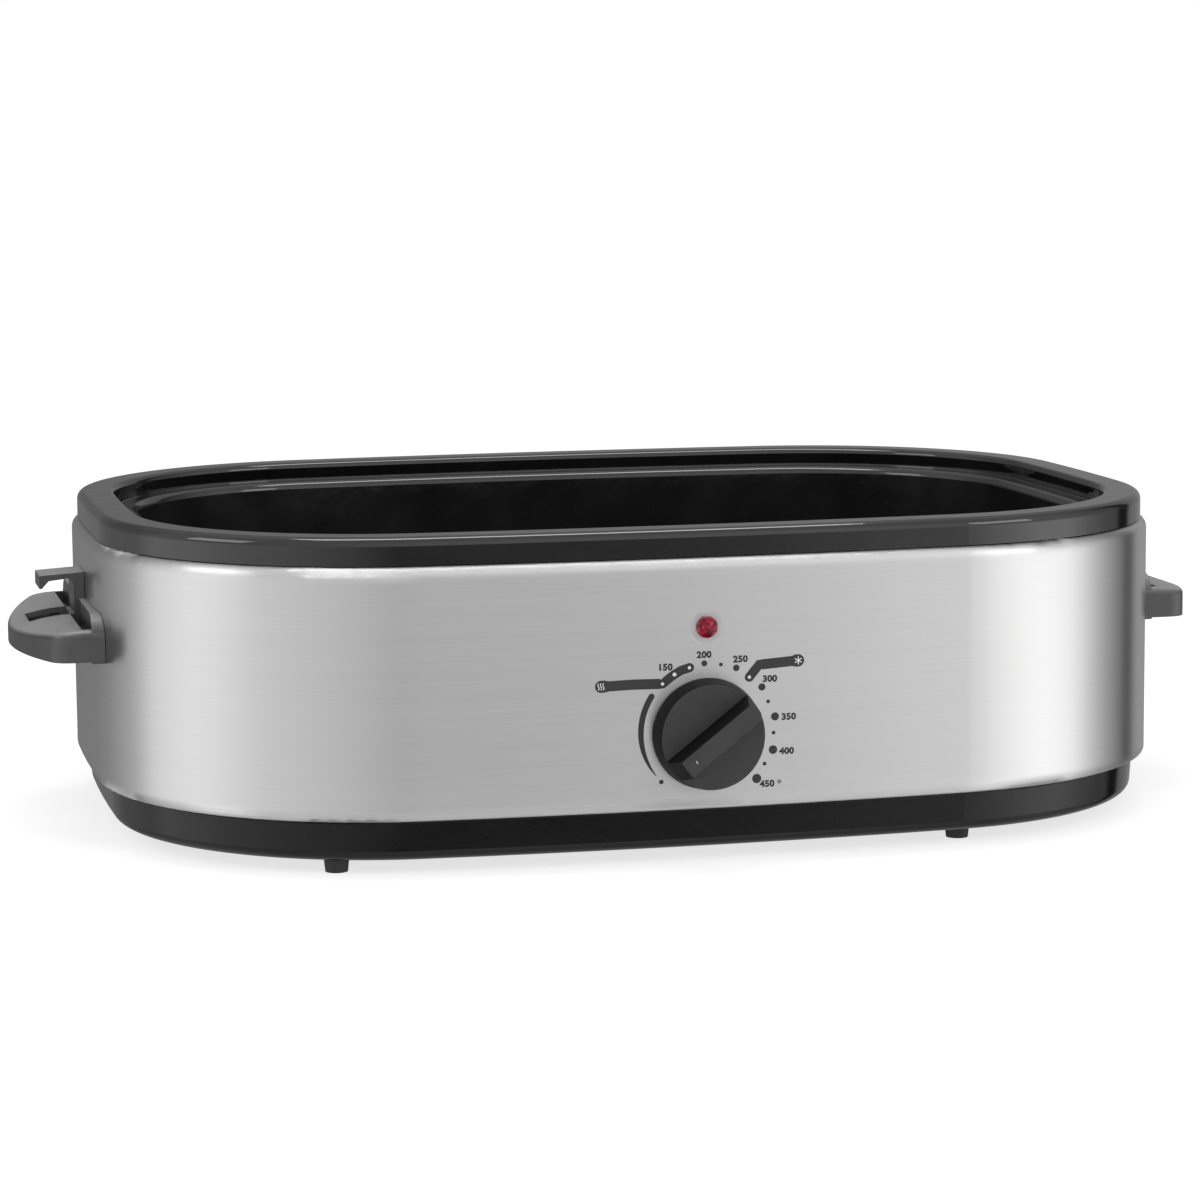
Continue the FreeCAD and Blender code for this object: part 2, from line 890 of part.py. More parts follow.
def thermostat_shaft():
    """Control shaft with a flat over its front end."""
    start = thermostat_front_y + shaft_in_thermostat
    end = shaft_end_y()
    shaft = rod(dial_x, end, dial_height, shaft_radius, start - end, (0, 1, 0))
    flat_start = boss_back_y()
    flat = block(
        (dial_x - shaft_radius, end - cut_margin, dial_height + shaft_flat),
        (dial_x + shaft_radius, flat_start, dial_height + shaft_radius + cut_margin),
    )
    turn = FreeCAD.Vector(0, 1, 0)
    flat.rotate(FreeCAD.Vector(dial_x, 0, dial_height), turn, -grip_angle)
    return shaft.cut(flat)


def knob_bore():
    """The space for the shaft in the knob, with its flat."""
    radius = shaft_radius + shaft_clearance
    end = shaft_end_y() - shaft_clearance
    length = knob_back_y - end
    bore = rod(dial_x, end, dial_height, radius, length, (0, 1, 0))
    flat = block(
        (dial_x - radius, end - cut_margin, dial_height + shaft_flat + shaft_clearance),
        (dial_x + radius, knob_back_y + cut_margin, dial_height + radius + cut_margin),
    )
    turn = FreeCAD.Vector(0, 1, 0)
    flat.rotate(FreeCAD.Vector(dial_x, 0, dial_height), turn, -grip_angle)
    return bore.cut(flat)


def boss_back_y():
    """y where the knob's boss ends, clear of the bush."""
    return front_y - bush_reach - boss_gap


def knob_grip():
    """Tapered bar across the knob's face, lying along X round the knob's centre."""
    base_length = 2 * knob_face_radius
    bar = tapered_block(
        (grip_top_length, grip_top_width), (base_length, grip_base_width), grip_height
    )
    edges = []
    for edge in bar.Edges:
        if edge.BoundBox.YMax < grip_edge_radius:
            edges.append(edge)
    bar = bar.makeFillet(grip_edge_radius, edges)
    keep = rod(0, 0, 0, knob_face_radius - seat_gap, grip_height, (0, 1, 0))
    dimple_x = -grip_top_length / 2 + pointer_from_end
    ball_radius = (pointer_radius**2 + pointer_depth**2) / (2 * pointer_depth)
    ball_y = pointer_depth - ball_radius
    ball = Part.makeSphere(ball_radius, FreeCAD.Vector(dimple_x, ball_y, 0))
    return bar.common(keep).cut(ball)


def control_knob():
    """Round knob with a grip bar, hollow behind round a central boss."""
    back = FreeCAD.Vector(dial_x, knob_back_y, dial_height)
    forward = FreeCAD.Vector(0, -1, 0)
    disc = Part.makeCone(knob_back_radius, knob_face_radius, knob_disc_depth, back, forward)
    front_edges = []
    for edge in disc.Edges:
        if edge.BoundBox.YMax < knob_face_y + knob_edge_radius:
            front_edges.append(edge)
    disc = disc.makeFillet(knob_edge_radius, front_edges)
    hollow_depth = knob_disc_depth - knob_wall
    hollow = Part.makeCone(
        knob_back_radius - knob_wall, knob_face_radius - knob_wall, hollow_depth, back, forward
    )
    grip = knob_grip()
    grip.rotate(FreeCAD.Vector(0, 0, 0), FreeCAD.Vector(0, 1, 0), -grip_angle)
    grip.translate(FreeCAD.Vector(dial_x, grip_top_y, dial_height))
    boss_length = boss_back_y() - knob_face_y
    boss = rod(dial_x, knob_face_y, dial_height, boss_radius, boss_length, (0, 1, 0))
    knob = disc.cut(hollow).fuse([grip, boss]).removeSplitter()
    return knob.cut(knob_bore())


def knob_clip():
    """Spring ring round the knob's boss."""
    inner = boss_radius + shaft_clearance
    start = boss_back_y() - clip_length
    ring_outer = rod(
        dial_x, start, dial_height, inner + clip_thickness, clip_length, (0, 1, 0)
    )
    ring_inner = rod(dial_x, start, dial_height, inner, clip_length, (0, 1, 0))
    slot = block(
        (dial_x - clip_slot / 2, start, dial_height + inner / 2),
        (dial_x + clip_slot / 2, start + clip_length, dial_height + inner + 2 * clip_thickness),
    )
    return ring_outer.cut([ring_inner, slot])


def pilot_lens():
    """Red lens with a domed head and a barrel through the shell."""
    head_back = front_y - seat_gap
    head = rod(dial_x, head_back, lamp_height, lens_radius, lens_flange, (0, -1, 0))
    dome_radius = (lens_radius**2 + lens_dome**2) / (2 * lens_dome)
    dome_y = head_back - lens_flange - lens_dome + dome_radius
    ball = Part.makeSphere(dome_radius, FreeCAD.Vector(dial_x, dome_y, lamp_height))
    column = rod(
        dial_x, head_back - lens_flange, lamp_height, lens_radius, 2 * lens_dome, (0, -1, 0)
    )
    barrel_length = lens_barrel_reach + seat_gap
    barrel = rod(dial_x, head_back, lamp_height, lens_barrel_radius, barrel_length, (0, 1, 0))
    return head.fuse([ball.common(column), barrel]).removeSplitter()


def lamp_retainer():
    """Push-on ring that holds the lens from inside."""
    y = front_y + shell_sheet + seat_gap
    plate = rod(dial_x, y, lamp_height, retainer_radius, retainer_thickness, (0, 1, 0))
    hole_radius = lens_barrel_radius + shaft_clearance
    hole = rod(dial_x, y, lamp_height, hole_radius, retainer_thickness, (0, 1, 0))
    return plate.cut(hole)


def lamp_holder():
    """Holder of the small lamp behind the lens."""
    y = front_y + lens_barrel_reach
    return rod(dial_x, y, lamp_height, lamp_holder_radius, lamp_holder_length, (0, 1, 0))


def lamp_leads():
    """Two short wires from the lamp holder down to the thermostat."""
    leads = []
    y = front_y + lens_barrel_reach + lamp_holder_length - 2 * lead_radius
    for side in (-1, 1):
        x = dial_x + side * lamp_lead_spacing / 2
        low = dial_height + thermostat_height / 2
        high = lamp_height - lamp_holder_radius - seat_gap
        leads.append(rod(x, y, low, lead_radius, high - low, (0, 0, 1)))
    return group(leads)


def handle_outline(inset, inner_x, low, high):
    """Prism of the handle's D shape, its walls drawn in by inset."""
    half = handle_width / 2 - inset
    arc_radius = handle_arc_radius - inset
    corner = handle_corner_radius - inset
    arc_x = half_length + handle_reach - handle_arc_radius
    corner_y = half - corner
    corner_x = arc_x + math.sqrt((arc_radius - corner) ** 2 - corner_y**2)
    tip_x, tip_y = unit(corner_x - arc_x, corner_y)
    meet = FreeCAD.Vector(arc_x + arc_radius * tip_x, arc_radius * tip_y, low)
    bulge_x, bulge_y = unit(tip_x, tip_y + 1)
    bulge = FreeCAD.Vector(corner_x + corner * bulge_x, corner_y + corner * bulge_y, low)
    side = FreeCAD.Vector(corner_x, half, low)
    root = FreeCAD.Vector(inner_x, half, low)
    front = FreeCAD.Vector(arc_x + arc_radius, 0, low)

    def mirrored(point):
        return FreeCAD.Vector(point.x, -point.y, point.z)

    edges = [
        Part.makeLine(mirrored(root), mirrored(side)),
        Part.Arc(mirrored(side), mirrored(bulge), mirrored(meet)).toShape(),
        Part.Arc(mirrored(meet), front, meet).toShape(),
        Part.Arc(meet, bulge, side).toShape(),
        Part.makeLine(side, root),
        Part.makeLine(root, mirrored(root)),
    ]
    return Part.Face(Part.Wire(edges)).extrude(FreeCAD.Vector(0, 0, high - low))


def handle_crown(drop):
    """Cylinder along Y whose top is the handle's crowned surface, lowered by drop."""
    x = half_length + handle_crown_offset
    z = handle_top_height - handle_crown_radius
    return rod(x, -handle_width, z, handle_crown_radius - drop, 2 * handle_width, (0, 1, 0))


def handle_plate():
    """Crowned plate with its skirt, hollow below for the fingers."""
    low = handle_top_height - handle_skirt_height
    inner_x = half_length - handle_root
    plate = handle_outline(0, inner_x, low, handle_top_height + cut_margin)
    plate = plate.common(handle_crown(0))
    edges = []
    for edge in plate.Edges:
        box = edge.BoundBox
        along_root = box.XMax < half_length
        upright = box.ZMax - box.ZMin > handle_skirt_height / 2
        if box.ZMin > low + handle_edge_radius and not along_root and not upright:
            edges.append(edge)
    plate = plate.makeFillet(handle_edge_radius, edges)
    hollow_x = half_length + handle_flange_thickness + pocket_width + handle_wall
    hollow_end = half_length + handle_reach
    hollow = handle_outline(handle_wall, inner_x, low - cut_margin, handle_top_height)
    hollow = hollow.common(
        block((hollow_x, -handle_width, low - cut_margin), (hollow_end, handle_width, handle_top_height))
    )
    return plate.cut(hollow.common(handle_crown(handle_wall)))


def handle_flange():
    """Upright flange against the shell with rounded upper corners."""
    low = handle_flange_low
    high = low + handle_flange_height
    half = handle_width / 2
    outer_x = half_length + handle_flange_thickness
    flange = block((half_length - handle_root, -half, low), (outer_x, half, high))
    edges = []
    for edge in flange.Edges:
        box = edge.BoundBox
        if box.ZMin > high - cut_margin and box.YMax - box.YMin < cut_margin:
            edges.append(edge)
    return flange.makeFillet(handle_flange_radius, edges)


def lid_hook():
    """Upright post with an arm that reaches out and ends in a short lip."""
    foot_z = handle_top_height - handle_skirt_height
    top = handle_top_height + hook_rise
    arm_end = top - hook_arm_slope
    tip_z = arm_end - hook_lip_drop
    profile = [
        (-handle_root, foot_z, 0),
        (hook_post_thickness, foot_z, 0),
        (hook_post_thickness, top - hook_arm_thickness, hook_root_radius),
        (hook_reach - hook_lip_taper, arm_end - hook_arm_thickness, hook_edge_radius),
        (hook_reach - hook_lip_tip, tip_z, 0),
        (hook_reach, tip_z, 0),
        (hook_reach, arm_end, hook_edge_radius),
        (0.0, top, 0),
        (-handle_root, top, 0),
        (-handle_root, foot_z, 0),
    ]
    edges = []
    for piece in rounded_pieces(profile):
        points = []
        for reach, height in piece:
            points.append(FreeCAD.Vector(half_length + reach, -hook_width / 2, height))
        if len(points) == 2:
            edges.append(Part.makeLine(*points))
        else:
            edges.append(Part.Arc(*points).toShape())
    face = Part.Face(Part.Wire(edges))
    return face.extrude(FreeCAD.Vector(0, hook_width, 0))


def handle_pockets():
    """Slots between the flange and the plate on both sides of the hook, and the hook's notch."""
    low = pocket_floor_height
    high = handle_top_height + cut_margin
    inner = half_length + handle_flange_thickness
    outer = inner + pocket_width
    cutters = []
    near = hook_width / 2
    far = handle_width / 2 - pocket_end_wall
    cutters.append(block((inner, near, low), (outer, far, high)))
    cutters.append(block((inner, -far, low), (outer, -near, high)))
    half = notch_width / 2
    bottom = handle_top_height - handle_skirt_height - cut_margin
    cutters.append(block((outer, -half, bottom), (outer + notch_length, half, high)))
    return cutters


def side_handle(end):
    """Handle moulding at one end, the same piece turned half a turn for the other."""
    handle = handle_plate().cut(handle_pockets())
    handle = handle.fuse([handle_flange(), lid_hook()])
    body = outline_prism(-seat_gap, 0, shell_top)
    cutters = [body]
    for side in (-1, 1):
        y = side * handle_hole_spacing / 2
        radius = handle_screw_radius + shaft_clearance
        start = half_length - handle_root
        length = handle_root + handle_screw_depth + cut_margin
        cutters.append(rod(start, y, handle_screw_height, radius, length, (1, 0, 0)))
    handle = handle.cut(cutters).removeSplitter()
    if end < 0:
        handle.rotate(FreeCAD.Vector(0, 0, 0), FreeCAD.Vector(0, 0, 1), 180)
    return handle


def backing_plate(end):
    """Steel strip inside the shell behind a handle."""
    low = handle_screw_height - backing_height / 2
    high = handle_screw_height + backing_height / 2
    inner = shell_sheet + seat_gap
    strip = outline_prism(inner, low, high)
    strip = strip.cut(outline_prism(inner + backing_sheet, low, high))
    half = backing_length / 2
    plate = strip.common(block((half_length - half, -half, low), (half_length, half, high)))
    cutters = []
    for side in (-1, 1):
        y = side * handle_hole_spacing / 2
        radius = handle_screw_radius + hole_clearance
        x = half_length - shell_cut_depth
        cutters.append(rod(x, y, handle_screw_height, radius, shell_cut_depth, (1, 0, 0)))
    plate = plate.cut(cutters)
    if end < 0:
        plate.rotate(FreeCAD.Vector(0, 0, 0), FreeCAD.Vector(0, 0, 1), 180)
    return plate


def handle_screws():
    """Screws from inside the shell into the handles."""
    screws = []
    for end, y in handle_screw_places():
        seat = end_x(y, shell_sheet + 3 * seat_gap + backing_sheet)
        tip = half_length + handle_screw_depth
        z = handle_screw_height
        head_start = seat - handle_screw_head_height
        head_length = handle_screw_head_height
        head = rod(
            end * head_start, y, z, handle_screw_head_radius, head_length, (end, 0, 0)
        )
        shank = rod(end * seat, y, z, handle_screw_radius, tip - seat, (end, 0, 0))
        screws.append(head.fuse(shank).removeSplitter())
    return group(screws)


def inlet_housing():
    """Moulded power inlet: flange, shroud round the pins, and a neck through the shell."""
    seat = half_depth + thermostat_seat_gap
    flange = rounded_plate(
        inlet_flange_width, inlet_flange_height, inlet_corner_radius, seat, inlet_flange_thickness
    )
    shroud_length = half_depth + shroud_reach - seat
    shroud = rounded_plate(
        shroud_width, shroud_height, inlet_corner_radius, seat, shroud_length
    )
    cavity_floor = half_depth + shroud_floor_reach
    cavity = rounded_plate(
        shroud_width - 2 * shroud_wall,
        shroud_height - 2 * shroud_wall,
        inlet_corner_radius - shroud_wall,
        cavity_floor,
        shroud_reach,
    )
    neck_start = half_depth - inlet_neck_depth
    neck = rounded_plate(
        inlet_neck_width, inlet_neck_height, neck_corner_radius, neck_start, seat - neck_start
    )
    housing = flange.fuse([shroud, neck]).cut(cavity)
    cutters = []
    for side in (-1, 1):
        pin_x = side * pin_spacing / 2
        pin_hole = pin_radius + shaft_clearance
        pin_length = inlet_neck_depth + shroud_reach
        cutters.append(rod(pin_x, neck_start, 0, pin_hole, pin_length, (0, 1, 0)))
        screw_x = side * inlet_screw_spacing / 2
        screw_hole = inlet_screw_radius + hole_clearance
        cutters.append(rod(screw_x, seat, 0, screw_hole, inlet_flange_thickness, (0, 1, 0)))
    housing = housing.cut(cutters).removeSplitter()
    housing.translate(FreeCAD.Vector(0, 0, inlet_height))
    return housing


def inlet_pins():
    """Two round contact pins."""
    pins = []
    for side in (-1, 1):
        x = side * pin_spacing / 2
        start = half_depth - pin_end_inside
        length = pin_end_inside + pin_end_reach
        pin = rod(x, start, inlet_height, pin_radius, length, (0, 1, 0))
        tip_edges = []
        for edge in pin.Edges:
            if edge.BoundBox.YMin > start + length - pin_radius:
                tip_edges.append(edge)
        pins.append(pin.makeFillet(pin_tip_radius, tip_edges))
    return group(pins)


def inlet_screws():
    """Screws through the inlet's flange and the shell."""
    screws = []
    head_seat = half_depth + thermostat_seat_gap + inlet_flange_thickness
    shank_length = inlet_flange_thickness + inlet_nut_thickness + inlet_screw_spare
    for side in (-1, 1):
        x = side * inlet_screw_spacing / 2
        z = inlet_height
        head = rod(
            x, head_seat, z, inlet_screw_head_radius, inlet_screw_head_height, (0, 1, 0)
        )
        shank = rod(x, head_seat, z, inlet_screw_radius, shank_length, (0, -1, 0))
        screws.append(head.fuse(shank).removeSplitter())
    return group(screws)


def inlet_nuts():
    """Nuts inside the shell on the inlet's screws."""
    nuts = []
    y = half_depth - shell_sheet - thermostat_seat_gap
    bore = inlet_screw_radius + shaft_clearance
    for side in (-1, 1):
        x = side * inlet_screw_spacing / 2
        nuts.append(
            hex_nut(x, y, inlet_height, inlet_nut_radius, inlet_nut_thickness, bore, (0, -1, 0))
        )
    return group(nuts)


def long_way_round(side, start, end):
    """Points of a wire on the base's floor from the back to the front along one side."""
    quarter = []
    cx, cy = corner_centre()
    low = math.atan2(cy, cx - half_length + end_arc_radius)
    high = math.atan2(cy - half_depth + side_arc_radius, cx)
    reach = corner_radius - lead_run_inset
    quarter.append((cx / 2, side_y(cx / 2, lead_run_inset)))
    for step in range(lead_corner_points):
        share = step / (lead_corner_points - 1)
        angle = high + (low - high) * share
        quarter.append((cx + reach * math.cos(angle), cy + reach * math.sin(angle)))
    rear = [(side * x, y, lead_floor_z) for x, y in quarter]
    front = [(side * x, -y, lead_floor_z) for x, y in reversed(quarter)]
    return start + rear + front + end


def live_lead():
    """Wire from one inlet pin round the right side to the thermostat."""
    x = pin_spacing / 2
    back_y = side_y(x, lead_inset)
    riser_x = dial_x + lead_riser_offset
    front_riser_y = -side_y(riser_x, lead_inset)
    start = [
        (x, half_depth - pin_end_inside, inlet_height),
        (x, back_y, inlet_height),
        (x, back_y, lead_floor_z),
    ]
    end = [
        (riser_x, front_riser_y, lead_floor_z),
        (riser_x, front_riser_y, dial_height - thermostat_height / 2),
    ]
    return tube(long_way_round(1, start, end), lead_radius)


def heater_lead():
    """Wire from the thermostat round the left side to the thermal fuse."""
    x = terminal_places()[0]
    back_y = side_y(x, lead_inset)
    riser_x = dial_x - lead_riser_offset
    front_riser_y = -side_y(riser_x, lead_inset)
    start = [(x, back_y, fuse_low), (x, back_y, lead_floor_z)]
    end = [
        (riser_x, front_riser_y, lead_floor_z),
        (riser_x, front_riser_y, dial_height - thermostat_height / 2),
    ]
    return tube(long_way_round(-1, start, end), lead_radius)


def thermal_fuse():
    """Cartridge fuse under the left heater terminal, with its upper link."""
    x = terminal_places()[0]
    y = side_y(x, lead_inset)
    body = rod(x, y, fuse_low, fuse_radius, fuse_length, (0, 0, 1))
    link_low = fuse_low + fuse_length
    link_high = inlet_height - terminal_radius - fuse_link_gap
    link = rod(x, y, link_low, lead_radius, link_high - link_low, (0, 0, 1))
    return body.fuse(link).removeSplitter()


def neutral_lead():
    """Wire from the other inlet pin over to the right heater terminal."""
    pin_x = -pin_spacing / 2
    y = side_y(pin_x, lead_inset)
    x = terminal_places()[1]
    top = inlet_height + neutral_arch
    points = [
        (pin_x, half_depth - pin_end_inside, inlet_height),
        (pin_x, y, inlet_height),
        (pin_x, y, top),
        (x, side_y(x, lead_inset), top),
        (x, side_y(x, lead_inset), inlet_height + terminal_radius + fuse_link_gap),
    ]
    return tube(points, lead_radius)


def write(name, shape):
    """Save one sub-part and say what it holds."""
    shape.exportStep("parts/" + name + ".step")
    print(name, len(shape.Solids), round(shape.Volume, 1), shape.isValid())


os.makedirs("parts", exist_ok=True)

write("outer_shell", outer_shell())
write("base_pan", base_pan())
write("heating_well", heating_well())
write("cooking_pan", cooking_pan())
write("heat_shield", heat_shield())
write("heater_band", heater_band())
write("heater_terminals", heater_terminals())
write("insulation_blanket", insulation_blanket())
write("blanket_straps", blanket_straps())
for foot_name, foot_place in foot_places().items():
    write(foot_name, foot(*foot_place))
write("foot_screws", foot_screws())
write("foot_nuts", foot_nuts())
write("tie_studs", tie_studs())
write("lower_spacers", spacers(base_floor_top, shield_height))
write("upper_spacers", spacers(shield_height + shield_sheet, well_underside))
write("tie_nuts", tie_nuts())
write("sensor_bulb", sensor_bulb())
write("bulb_clips", bulb_clips())
write("capillary_tube", capillary_tube())
write("thermostat_body", thermostat_body())
write("thermostat_nut", thermostat_nut())
write("thermostat_shaft", thermostat_shaft())
write("control_knob", control_knob())
write("knob_clip", knob_clip())
write("pilot_lens", pilot_lens())
write("lamp_retainer", lamp_retainer())
write("lamp_holder", lamp_holder())
write("lamp_leads", lamp_leads())
write("left_handle", side_handle(-1))
write("right_handle", side_handle(1))
write("left_backing_plate", backing_plate(-1))
write("right_backing_plate", backing_plate(1))
write("handle_screws", handle_screws())
write("inlet_housing", inlet_housing())
write("inlet_pins", inlet_pins())
write("inlet_screws", inlet_screws())
write("inlet_nuts", inlet_nuts())
write("live_lead", live_lead())
write("heater_lead", heater_lead())
write("thermal_fuse", thermal_fuse())
write("neutral_lead", neutral_lead())
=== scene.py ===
import json
import math

import bmesh
import bpy
from mathutils import Matrix, Vector
from mathutils.bvhtree import BVHTree


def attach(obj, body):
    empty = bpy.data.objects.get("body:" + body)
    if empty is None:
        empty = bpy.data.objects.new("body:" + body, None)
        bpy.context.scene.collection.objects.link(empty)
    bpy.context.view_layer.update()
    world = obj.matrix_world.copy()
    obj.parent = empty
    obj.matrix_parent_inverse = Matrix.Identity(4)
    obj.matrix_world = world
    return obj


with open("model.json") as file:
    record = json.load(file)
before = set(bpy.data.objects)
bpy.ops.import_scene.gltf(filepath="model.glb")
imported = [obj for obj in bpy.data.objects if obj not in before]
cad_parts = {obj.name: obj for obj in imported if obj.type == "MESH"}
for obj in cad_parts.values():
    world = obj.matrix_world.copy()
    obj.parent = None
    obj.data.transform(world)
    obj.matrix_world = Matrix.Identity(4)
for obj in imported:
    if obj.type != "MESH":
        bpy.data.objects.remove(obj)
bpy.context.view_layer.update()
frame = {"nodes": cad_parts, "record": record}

nodes = frame["nodes"]
MM = 0.001
FULL_TURN = 2 * math.pi
FINE_RELIEF = 0.02 * MM

# The Mix node's sockets in its colour mode: factor, A and B, and the result
MIX_INPUTS = (0, 6, 7)
MIX_RESULT = 2

# Camera: the photograph's viewing angle
CAMERA_AZIMUTH = -0.232
CAMERA_ELEVATION = 0.136
CAMERA_ROLL = -0.008
CAMERA_DISTANCE = 1.9006
CAMERA_TARGET = Vector((-0.0021, 0.0, 0.0981))
CAMERA_LENS = 111.59
CAMERA_SENSOR = 36.0
CAMERA_NEAR = 0.05
CAMERA_FAR = 100.0

# Lamps: name, place, what it is aimed at, width, height, brightness of its face
LAMPS = [
    ("lamp_above", (0.0, 0.0, 1.5), (0.0, 0.0, 0.1), 1.1, 0.42, 6.0),
    ("lamp_left", (-1.9, -0.35, 0.95), (-0.2, 0.0, 0.1), 0.9, 0.8, 2.6),
    ("lamp_right", (1.35, -1.35, 0.85), (0.2, 0.0, 0.1), 0.8, 0.7, 2.6),
]

# Studio: brightness by the angle round the oven in degrees, 0 in front of it and 90 at its right
WALL_LEVELS = [
    (-180, 0.20), (-150, 0.26), (-126, 0.45), (-112, 0.80), (-92, 0.85), (-70, 0.74), (-30, 0.88),
    (-4, 0.98), (10, 1.08), (21, 1.20), (40, 0.92), (60, 1.02), (75, 0.95), (90, 0.62), (102, 0.38),
    (111, 0.28), (115, 0.05), (122, 0.05), (127, 0.42), (150, 0.35), (180, 0.20),
]
TABLE_LEVELS = [
    (-180, 0.20), (-150, 0.32), (-126, 0.60), (-112, 1.20), (-92, 1.36), (-70, 1.12), (-45, 0.86),
    (-25, 0.60), (-6, 0.26), (9, 0.26), (17, 0.36), (24, 0.70), (38, 1.35), (60, 1.95), (75, 1.80),
    (90, 0.85), (102, 0.42), (111, 0.28), (115, 0.03), (122, 0.03), (127, 0.42), (150, 0.35), (180, 0.20),
]
# A ramp holds values up to 1, so the levels are divided by this and the world's strength is this
LEVEL_SCALE = 4.0
# Where the table shows, as shares of the way from straight down to straight up
TABLE_BAND = [(0.31, 0.0), (0.345, 1.0), (0.465, 1.0), (0.49, 0.0)]
# Steepness at which the walls fade to the plain grey above and below
GREY_START, GREY_END = 0.45, 0.85
STUDIO_GREY = (0.20, 0.20, 0.20)

WHITE = (1.0, 1.0, 1.0, 1.0)
FLOOR_RADIUS = 14.0
FLOOR_CORNERS = 96
# What the camera sees of the floor: this share of plain white of this strength, the rest lit paper
FLOOR_WHITE_SHARE = 0.6
FLOOR_WHITE_STRENGTH = 1.22

# Print on the wrap round the knob, a thin layer that follows the steel
PRINT_PROUD = 0.10 * MM
SIGN_PROUD = 0.16 * MM
PRINT_DEPTH = 0.05 * MM
RAY_START = -0.5
CAP_STEPS = 8

# Places on the dial are (x, z) in millimetres, z from the wrap's lower edge at this height
DIAL_BASE = 26.0
DOTS = [
    ("min", -20.0, 13.8, 2.1),
    ("200", 0.7, 68.3, 2.8),
    ("225", 8.6, 67.4, 1.8),
    ("250", 16.0, 65.5, 3.1),
    ("300", 28.3, 56.0, 3.4),
    ("325", 31.3, 49.1, 1.8),
    ("350", 34.6, 41.9, 3.8),
    ("375", 33.9, 34.3, 1.8),
    ("400", 33.6, 26.3, 4.1),
    ("425", 29.5, 19.9, 1.8),
    ("450", 25.7, 13.1, 4.4),
]
DOT_CORNERS = 28
NUMBERS = [
    ("150", -17.5, 67.3),
    ("200", 0.6, 72.4),
    ("250", 18.0, 69.6),
    ("300", 32.2, 59.8),
    ("350", 41.3, 41.6),
    ("400", 40.2, 25.5),
    ("450", 30.7, 10.5),
]
DIGIT_HEIGHT = 3.3
DIGIT_WIDENING = 1.08
DIGIT_BOLDNESS = 0.048
DIGIT_SPACING = 1.06
DIGIT_SMOOTHNESS = 4
SAME_POINT = 1e-6
DEGREE_CENTRE = (36.6, 11.1)
DEGREE_RADIUS = 0.66
DEGREE_STROKE = 0.46
DEGREE_CORNERS = 16

# Flags at the low and middle settings, their strokes by x, with white dots and plain signs
FLAG_LEFT = [
    (-48.1, 59.4), (-46.6, 59.45), (-33.0, 59.8), (-18.9, 59.6),
    (-16.3, 61.8), (-13.5, 63.75), (-10.2, 65.5), (-6.3, 66.6),
]
LEFT_BLOB_END, LEFT_BAR_END = -46.0, -19.0
LEFT_BLOB, LEFT_BAR, LEFT_BEND = 5.7, 4.75, 4.3
FLAG_RIGHT = [(22.25, 60.9), (24.6, 63.7), (27.0, 66.5), (36.0, 67.05), (44.6, 67.6), (45.9, 67.65)]
RIGHT_BEND_END, RIGHT_BAR_END = 26.0, 44.0
RIGHT_BEND, RIGHT_BAR, RIGHT_BLOB = 4.4, 4.75, 5.8
FLAG_DOTS = [(-19.2, 59.55, 1.5), (-13.5, 63.7, 1.9), (-6.4, 66.55, 1.6), (22.25, 60.9, 1.6)]
FLAG_DOT_CORNERS = 20
WAVES = 3
WAVE_START = (-49.3, 57.9)
WAVE_SPACING = 1.15
WAVE_SWING = 0.28
WAVE_HEIGHT = 3.0
WAVE_STEPS = 8
WAVE_STROKE = 0.36
STAR_STROKES = 3
STAR_CENTRE = (45.9, 67.65)
STAR_REACH = 1.8
STAR_STROKE = 0.42
STAR_LIFT = 0.01 * MM

# Tapered crescent at the left of the knob
CRESCENT_CENTRE = (1.97, 36.65)
CRESCENT_RADIUS = 31.5
CRESCENT_START, CRESCENT_END = 219.1, 146.8
CRESCENT_POINTS = 36
CRESCENT_TIP = 0.3
CRESCENT_GAIN = 2.5
CRESCENT_TAPER = 3.2

# Mark on the knob's grip: a ring in the knob's own plastic, and inside it a light arc that is a painted
# highlight, the glint in the dimple
POINTER_X = -8.0 * MM
POINTER_Z = 53.6 * MM
KNOB_FRONT = -0.2210
POINTER_RING = (2.5 * MM, 0.3 * MM, 0.0, 360.0)
POINTER_PAINTED_GLINT = (1.75 * MM, 0.2 * MM, 185.0, 235.0)
POINTER_STEPS_AROUND = 32
POINTER_STEPS_ACROSS = 10


def make_camera():
    """Camera round the oven, a little to the left of its front and above it."""
    data = bpy.data.cameras.new("camera")
    data.lens = CAMERA_LENS
    data.sensor_width = CAMERA_SENSOR
    data.clip_start = CAMERA_NEAR
    data.clip_end = CAMERA_FAR
    camera = bpy.data.objects.new("camera", data)
    bpy.context.scene.collection.objects.link(camera)
    az, el = CAMERA_AZIMUTH, CAMERA_ELEVATION
    back = Vector((math.sin(az) * math.cos(el), -math.cos(az) * math.cos(el), math.sin(el)))
    right = Vector((math.cos(az), math.sin(az), 0.0))
    up = back.cross(right)
    turn_x = right * math.cos(CAMERA_ROLL) + up * math.sin(CAMERA_ROLL)
    turn_y = up * math.cos(CAMERA_ROLL) - right * math.sin(CAMERA_ROLL)
    place = Matrix((turn_x, turn_y, back)).transposed().to_4x4()
    place.translation = CAMERA_TARGET + back * CAMERA_DISTANCE
    camera.matrix_world = place
    bpy.context.scene.camera = camera


